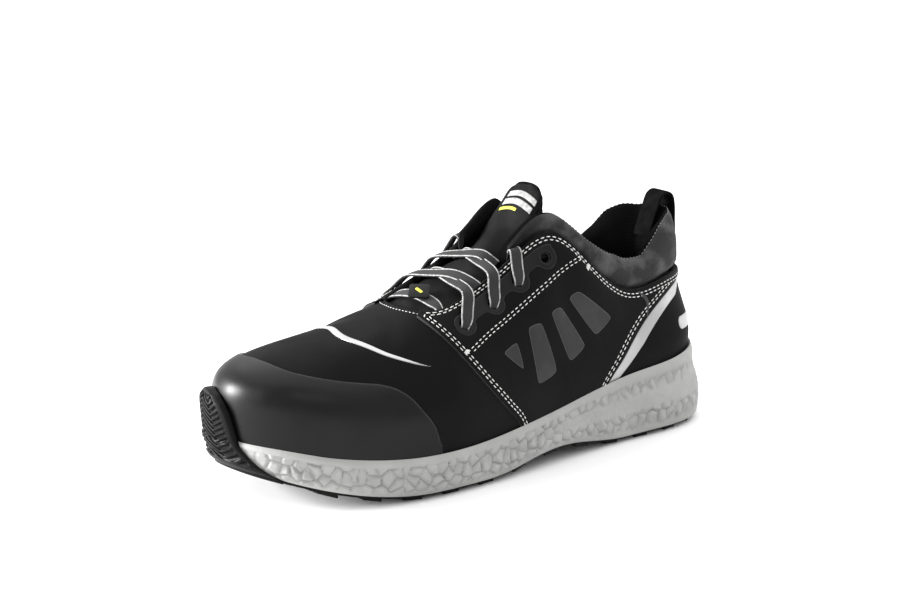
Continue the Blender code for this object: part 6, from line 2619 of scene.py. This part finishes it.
@dataclass
class Laces:
    """The flat woven lace: its bar, its crossings and the falls at the third eyelets."""

    last: Last
    pattern: Pattern
    fit: Fit
    wide: float = 0.0062
    thick: float = 0.0017
    hover: float = 0.0003 + 0.0011 + 0.0006 + 0.0010

    def build(self) -> None:
        """Builds each length of lace."""
        for number, node in ((0, "lace_cross_lower"), (1, "lace_cross_upper")):
            lifts = ((Side.OUTER, 0.0), (Side.INNER, 0.0012))
            paths = [self._crossing(side, number, lift) for side, lift in lifts]
            self._weave(f"{node}_webbing", node, paths)
        self._weave("lace_bar_webbing", "lace_bar", [self._bar()])
        for side, node in ((Side.OUTER, "lace_fall_outer"), (Side.INNER, "lace_fall_inner")):
            self._weave(f"{node}_webbing", node, [self._fall(side)])

    def _stay(self, side: Side, eyelet: int) -> list[Array]:
        """A lace's points out of an eyelet and over the eyestay, to just past the rim.

        Args:
            side: The outer or the inner side.
            eyelet: Which eyelet, counted from the front.

        Returns:
            The points, from the eyelet on.
        """
        u, s = self.pattern.eyelets(side)[eyelet]
        rim_u = self.fit.rim_place(float(self.last.columns(np.array([u]))[0, 2]) - 0.001, side)
        length = float(self.last.wall_length(np.array(u)))
        down = s - 0.0016 / length
        stops = (
            (u, down, -0.0030),
            (u, down, 0.0002),
            (u, s + 0.0010 / length, self.hover - 0.0004),
            (u, s + 0.5 * (1 - s), self.hover),
            (rim_u, 1.0, self.hover + 0.0004),
        )
        return [self.fit._offset(np.array(a), np.array(b), high) for a, b, high in stops]

    def _crossing(self, side: Side, number: int, lift: float) -> Array:
        """One lace from its eyelet over the tongue and in under the other eyestay.

        Args:
            side: The outer or the inner side.
            number: Which pair of eyelets, the lowest first.
            lift: Height above the lace below it.

        Returns:
            The path.
        """
        points = self._stay(side, number)
        u = self.pattern.eyelets(side)[number][0]
        start = float(self.last.columns(np.array([u]))[0, 2])
        above = self.fit.soft_gap + 0.0010
        for across in (0.30, 0.60, 0.86):
            where = across if side is Side.OUTER else 1 - across
            over = above + lift * math.sin(math.pi * across) + 0.0010
            points.append(self.fit.over_tongue(start - 0.001 - 0.008 * across, where, over))
        where = 1.03 if side is Side.OUTER else -0.03
        points.append(self.fit.over_tongue(start - 0.010, where, 0.0004))
        return self._eased(smooth_path(points, 72), 10)

    def _bar(self) -> Array:
        """The bar across the front of the throat.

        Returns:
            The path.
        """
        u = self.pattern.eyelets(Side.OUTER)[0][0]
        x = float(self.last.columns(np.array([u]))[0, 2]) + 0.0125
        above = self.fit.soft_gap + 0.0010
        points = [self.fit.over_tongue(x, across, above) for across in (0.12, 0.31, 0.5, 0.69, 0.88)]
        first = self.fit.over_tongue(x + 0.001, 0.0, above - 0.0012)
        end = self.fit.over_tongue(x + 0.001, 1.0, above - 0.0012)
        return smooth_path([first, *points, end], 48)

    def _fall(self, side: Side) -> Array:
        """The lace from the third eyelet up over the rim and in beside the tongue.

        Args:
            side: The outer or the inner side.

        Returns:
            The path.
        """
        points = self._stay(side, 2)
        inward = -side.value
        points.append(points[-1] + np.array([-0.0012, inward * 0.0038, -0.0004]))
        points.append(points[-1] + np.array([-0.0010, inward * 0.0022, -0.0036]))
        return self._eased(smooth_path(points, 60), 6)

    def _eased(self, path: Array, rounds: int) -> Array:
        """The path with its bends eased, except where it dives into the eyelet.

        Args:
            path: The lace's points.
            rounds: How often the bends are eased.

        Returns:
            The path, eased.
        """
        path = path.copy()
        for _ in range(rounds):
            path[9:-1] += 0.5 * ((path[8:-2] + path[10:]) / 2 - path[9:-1])
        return path

    def _weave(self, name: str, node: str, paths: list[Array]) -> None:
        """Builds one node's lengths of lace, each a woven band with a fine pale line along both edges.

        Args:
            name: The piece's name.
            node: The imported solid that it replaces.
            paths: One path for each length.
        """
        bm = bmesh.new()
        for path in paths:
            middle = path[:, 1] - self.last.shift[1]
            count = len(path)
            lean = 1.9 * middle / self.last.throat
            ups = unit(np.stack([np.full(count, 0.42), lean, np.full(count, 0.9)], axis=1))
            along = np.concatenate([[0], np.cumsum(np.linalg.norm(np.diff(path, axis=0), axis=1))])
            gather = 0.60 + 0.40 * ease((along - 0.0025) / 0.007)
            size = np.stack([self.wide / 2 * gather, self.thick / 2 * (1.5 - 0.5 * gather)], axis=1)
            outline = round_outline(20, 3.0)
            rings = band_rings(path, ups, outline, size)
            length = float(np.linalg.norm(np.diff(path, axis=0), axis=1).sum())
            join_tube(bm, rings, 0, (length, 2 * self.wide))
            for edge in (-1, 1):
                spot = np.array([[edge * 0.90, 0.62]])
                line = band_rings(path, ups, spot, size)[:, 0]
                join_tube(bm, band_rings(line, ups, round_outline(6), np.array([0.00042, 0.00034])), 1)
        lace = finish_object(bm, name, "lace", sharp=80)
        lace.data.materials.append(WARDROBE.get("lace_edge"))
        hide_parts(node)


@dataclass
class Tag:
    """The small diamond tag on the lowest laces, with a plain bar where the real one has a sign."""

    last: Last
    pattern: Pattern
    fit: Fit
    size: float = 0.0105
    thickness: float = 0.0012

    def build(self) -> None:
        """Builds the tag and its bar."""
        u = self.pattern.eyelets(Side.OUTER)[0][0]
        x = float(self.last.columns(np.array([u]))[0, 2]) + 0.0135
        place = self.fit.over_tongue(x, 0.42, self.fit.soft_gap + 0.0020 + 0.0021)
        turn = Matrix.Translation(Vector(place)) @ Matrix.Rotation(math.radians(45), 4, "Z")
        turn = turn @ Matrix.Rotation(math.radians(24), 4, "Y")
        bm = self._plate((self.size, self.size, self.thickness), 0.0016, 0.0003, turn)
        tag = finish_object(bm, "lace_tag_moulding", "moulding", sharp=50)
        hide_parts("lace_tag")
        lift = turn @ Matrix.Translation((0, 0, self.thickness / 2))
        lift = lift @ Matrix.Rotation(math.radians(-45), 4, "Z")
        bar = self._plate((0.0016, 0.0048, 0.0004), 0.0006, 0.0001, lift)
        finish_object(bar, "lace_tag_bar", "yellow", sharp=50)

    def _plate(
        self, size: tuple[float, float, float], corner: float, soft: float, turn: Matrix
    ) -> bmesh.types.BMesh:
        """A small plate with round corners and softened edges.

        Args:
            size: Length, width and thickness.
            corner: Radius of the corners.
            soft: Radius of the edges.
            turn: Where it goes and how it is turned.

        Returns:
            The plate's mesh.
        """
        bm = bmesh.new()
        bmesh.ops.create_cube(bm, size=1.0)
        bmesh.ops.scale(bm, vec=size, verts=bm.verts)
        upright = [e for e in bm.edges if abs(e.verts[0].co.z - e.verts[1].co.z) > size[2] / 2]
        bmesh.ops.bevel(bm, geom=upright, offset=corner, affect="EDGES", segments=5, profile=0.5, material=-1)
        flat = [e for e in bm.edges if abs(e.verts[0].co.z - e.verts[1].co.z) < 1e-6]
        bmesh.ops.bevel(bm, geom=flat, offset=soft, affect="EDGES", segments=2, profile=0.5, material=-1)
        bmesh.ops.transform(bm, matrix=turn, verts=bm.verts)
        return bm


@dataclass
class PullLoop:
    """The webbing loop over the back of the cuff."""

    last: Last
    fit: Fit
    wide: float = 0.012
    thick: float = 0.0016
    route: tuple[tuple[float, float], ...] = (
        # shares of the cuff's padding back and of its height up, from the rim at the heel
        (-0.26, 0.05), (-0.28, 0.33), (-0.22, 0.67), (-0.19, 0.99), (-0.04, 1.170),
        (0.34, 1.235), (0.72, 1.175), (0.97, 1.01), (1.26, 0.77), (1.60, 0.50),
    )

    def build(self) -> None:
        """Builds the loop along its route."""
        rim = self.last.at(0.0, 1.0)
        shares = np.array(self.route)
        points = np.stack([
            rim[0] + shares[:, 0] * self.fit.cuff_padding,
            np.full(len(shares), self.last.shift[1]),
            rim[2] + shares[:, 1] * self.fit.cuff_back,
        ], axis=1)
        path = smooth_path(points, 80)
        along = unit(np.gradient(path, axis=0))
        ups = np.cross(along, np.array([0.0, 1.0, 0.0]))
        bm = bmesh.new()
        rings = band_rings(path, ups, round_outline(28, 5.0), np.array([self.wide, self.thick]) / 2)
        join_tube(bm, rings, 0, (0.075, 0.027))
        loop = finish_object(bm, "heel_loop_webbing", "webbing", sharp=80)
        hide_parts("pull_loop")


@dataclass
class Studio:
    """The pale floor, the soft lights and the camera at the photograph's angle."""

    last: Last
    azimuth: float = 39.64
    elevation: float = 15.36
    scale_px_per_m: float = 1974.8
    distance: float = 1.6733
    aim: tuple[float, float, float] = (0.150, 0.0, 0.050)
    centre_px: tuple[float, float] = (460.59, 359.26)
    frame_px: tuple[int, int] = (900, 600)

    def axes(self) -> tuple[Vector, Vector, Vector]:
        """The camera's right, its up and the direction towards it.

        Returns:
            The three directions, each of length 1.
        """
        a, e = math.radians(self.azimuth), math.radians(self.elevation)
        toward = Vector((math.sin(a) * math.cos(e), math.cos(a) * math.cos(e), math.sin(e)))
        right = Vector((-math.cos(a), math.sin(a), 0))
        return right, toward.cross(right), toward

    def build(self) -> None:
        """Sets up floor, world, lights and camera."""
        bpy.context.scene.view_settings.view_transform = "Standard"
        self._floor()
        self._world()
        self._lights()
        self._camera()

    def _camera(self) -> None:
        """The camera, far enough away to show the shoe as a long lens does."""
        right, up, toward = self.axes()
        data = bpy.data.cameras.new("camera")
        data.sensor_width = 36
        wide = self.frame_px[0]
        data.lens = self.scale_px_per_m * self.distance / wide * data.sensor_width
        data.shift_x = -(self.centre_px[0] - wide / 2) / wide
        data.shift_y = (self.centre_px[1] - self.frame_px[1] / 2) / wide
        data.clip_start, data.clip_end = 0.1, 50
        camera = bpy.data.objects.new("camera", data)
        turn = Matrix((right, up, toward)).transposed().to_4x4()
        turn.translation = Vector(self.aim) + Vector(self.last.shift) + toward * self.distance
        camera.matrix_world = turn
        bpy.context.scene.collection.objects.link(camera)
        bpy.context.scene.camera = camera

    def _floor(self) -> None:
        """A wide pale floor."""
        bm = bmesh.new()
        bmesh.ops.create_grid(bm, x_segments=1, y_segments=1, size=6)
        mesh = bpy.data.meshes.new("floor")
        bm.to_mesh(mesh)
        bm.free()
        floor = bpy.data.objects.new("floor", mesh)
        bpy.context.scene.collection.objects.link(floor)
        pale = bpy.data.materials.new("pale_floor")
        pale.use_nodes = True
        shader = pale.node_tree.nodes["Principled BSDF"]
        shader.inputs["Base Color"].default_value = (0.92, 0.92, 0.92, 1)
        shader.inputs["Roughness"].default_value = 0.9
        mesh.materials.append(pale)

    def _world(self) -> None:
        """An even pale surround."""
        world = bpy.data.worlds.new("surround")
        world.use_nodes = True
        world.node_tree.nodes["Background"].inputs["Color"].default_value = (1, 1, 1, 1)
        world.node_tree.nodes["Background"].inputs["Strength"].default_value = 0.90
        bpy.context.scene.world = world

    def _lights(self) -> None:
        """Soft boxes: one high at the toe side, one overhead and one low fill."""
        right, up, toward = self.axes()
        middle = Vector((0, 0, 0.05))
        boxes = (
            # name, right, up, toward, width, height, watts
            ("key_box", -1.13, 0.25, 0.06, 0.36, 0.36, 38.0),
            ("top_box", 0.10, 1.45, -0.10, 2.60, 2.20, 22.0),
            ("front_box", 0.25, 0.75, 1.35, 0.90, 0.60, 2.0),
            ("rim_box", 1.15, 0.60, -0.50, 0.40, 0.90, 3.0),
        )
        for name, x, y, z, wide, high, watts in boxes:
            data = bpy.data.lights.new(name, "AREA")
            data.shape = "RECTANGLE"
            data.size, data.size_y = wide, high
            data.energy = watts
            light = bpy.data.objects.new(name, data)
            place = middle + right * x + up * y + toward * z
            facing = (place - middle).to_track_quat("Z", "Y").to_matrix().to_4x4()
            light.matrix_world = Matrix.Translation(place) @ facing
            bpy.context.scene.collection.objects.link(light)


def configure_logging() -> None:
    """Shows one line for each piece."""
    logging.basicConfig(level=logging.INFO, format="%(name)s %(message)s")


def main() -> None:
    """Builds the dressed shoe and its studio, piece by piece."""
    configure_logging()
    last = Last()
    Studio(last).build()
    pattern = Pattern(last)
    Upper(last, pattern).build()
    Trims(last, pattern).build()
    Stitching(last, pattern).build()
    Midsole(last).build()
    Outsole(last).build()
    fit = Fit(last)
    Insole(last, fit).build()
    Cuff(last, fit).build()
    Tongue(last, fit).build()
    PullLoop(last, fit).build()
    Laces(last, pattern, fit).build()
    Tag(last, pattern, fit).build()


if __name__ == "__main__":
    main()
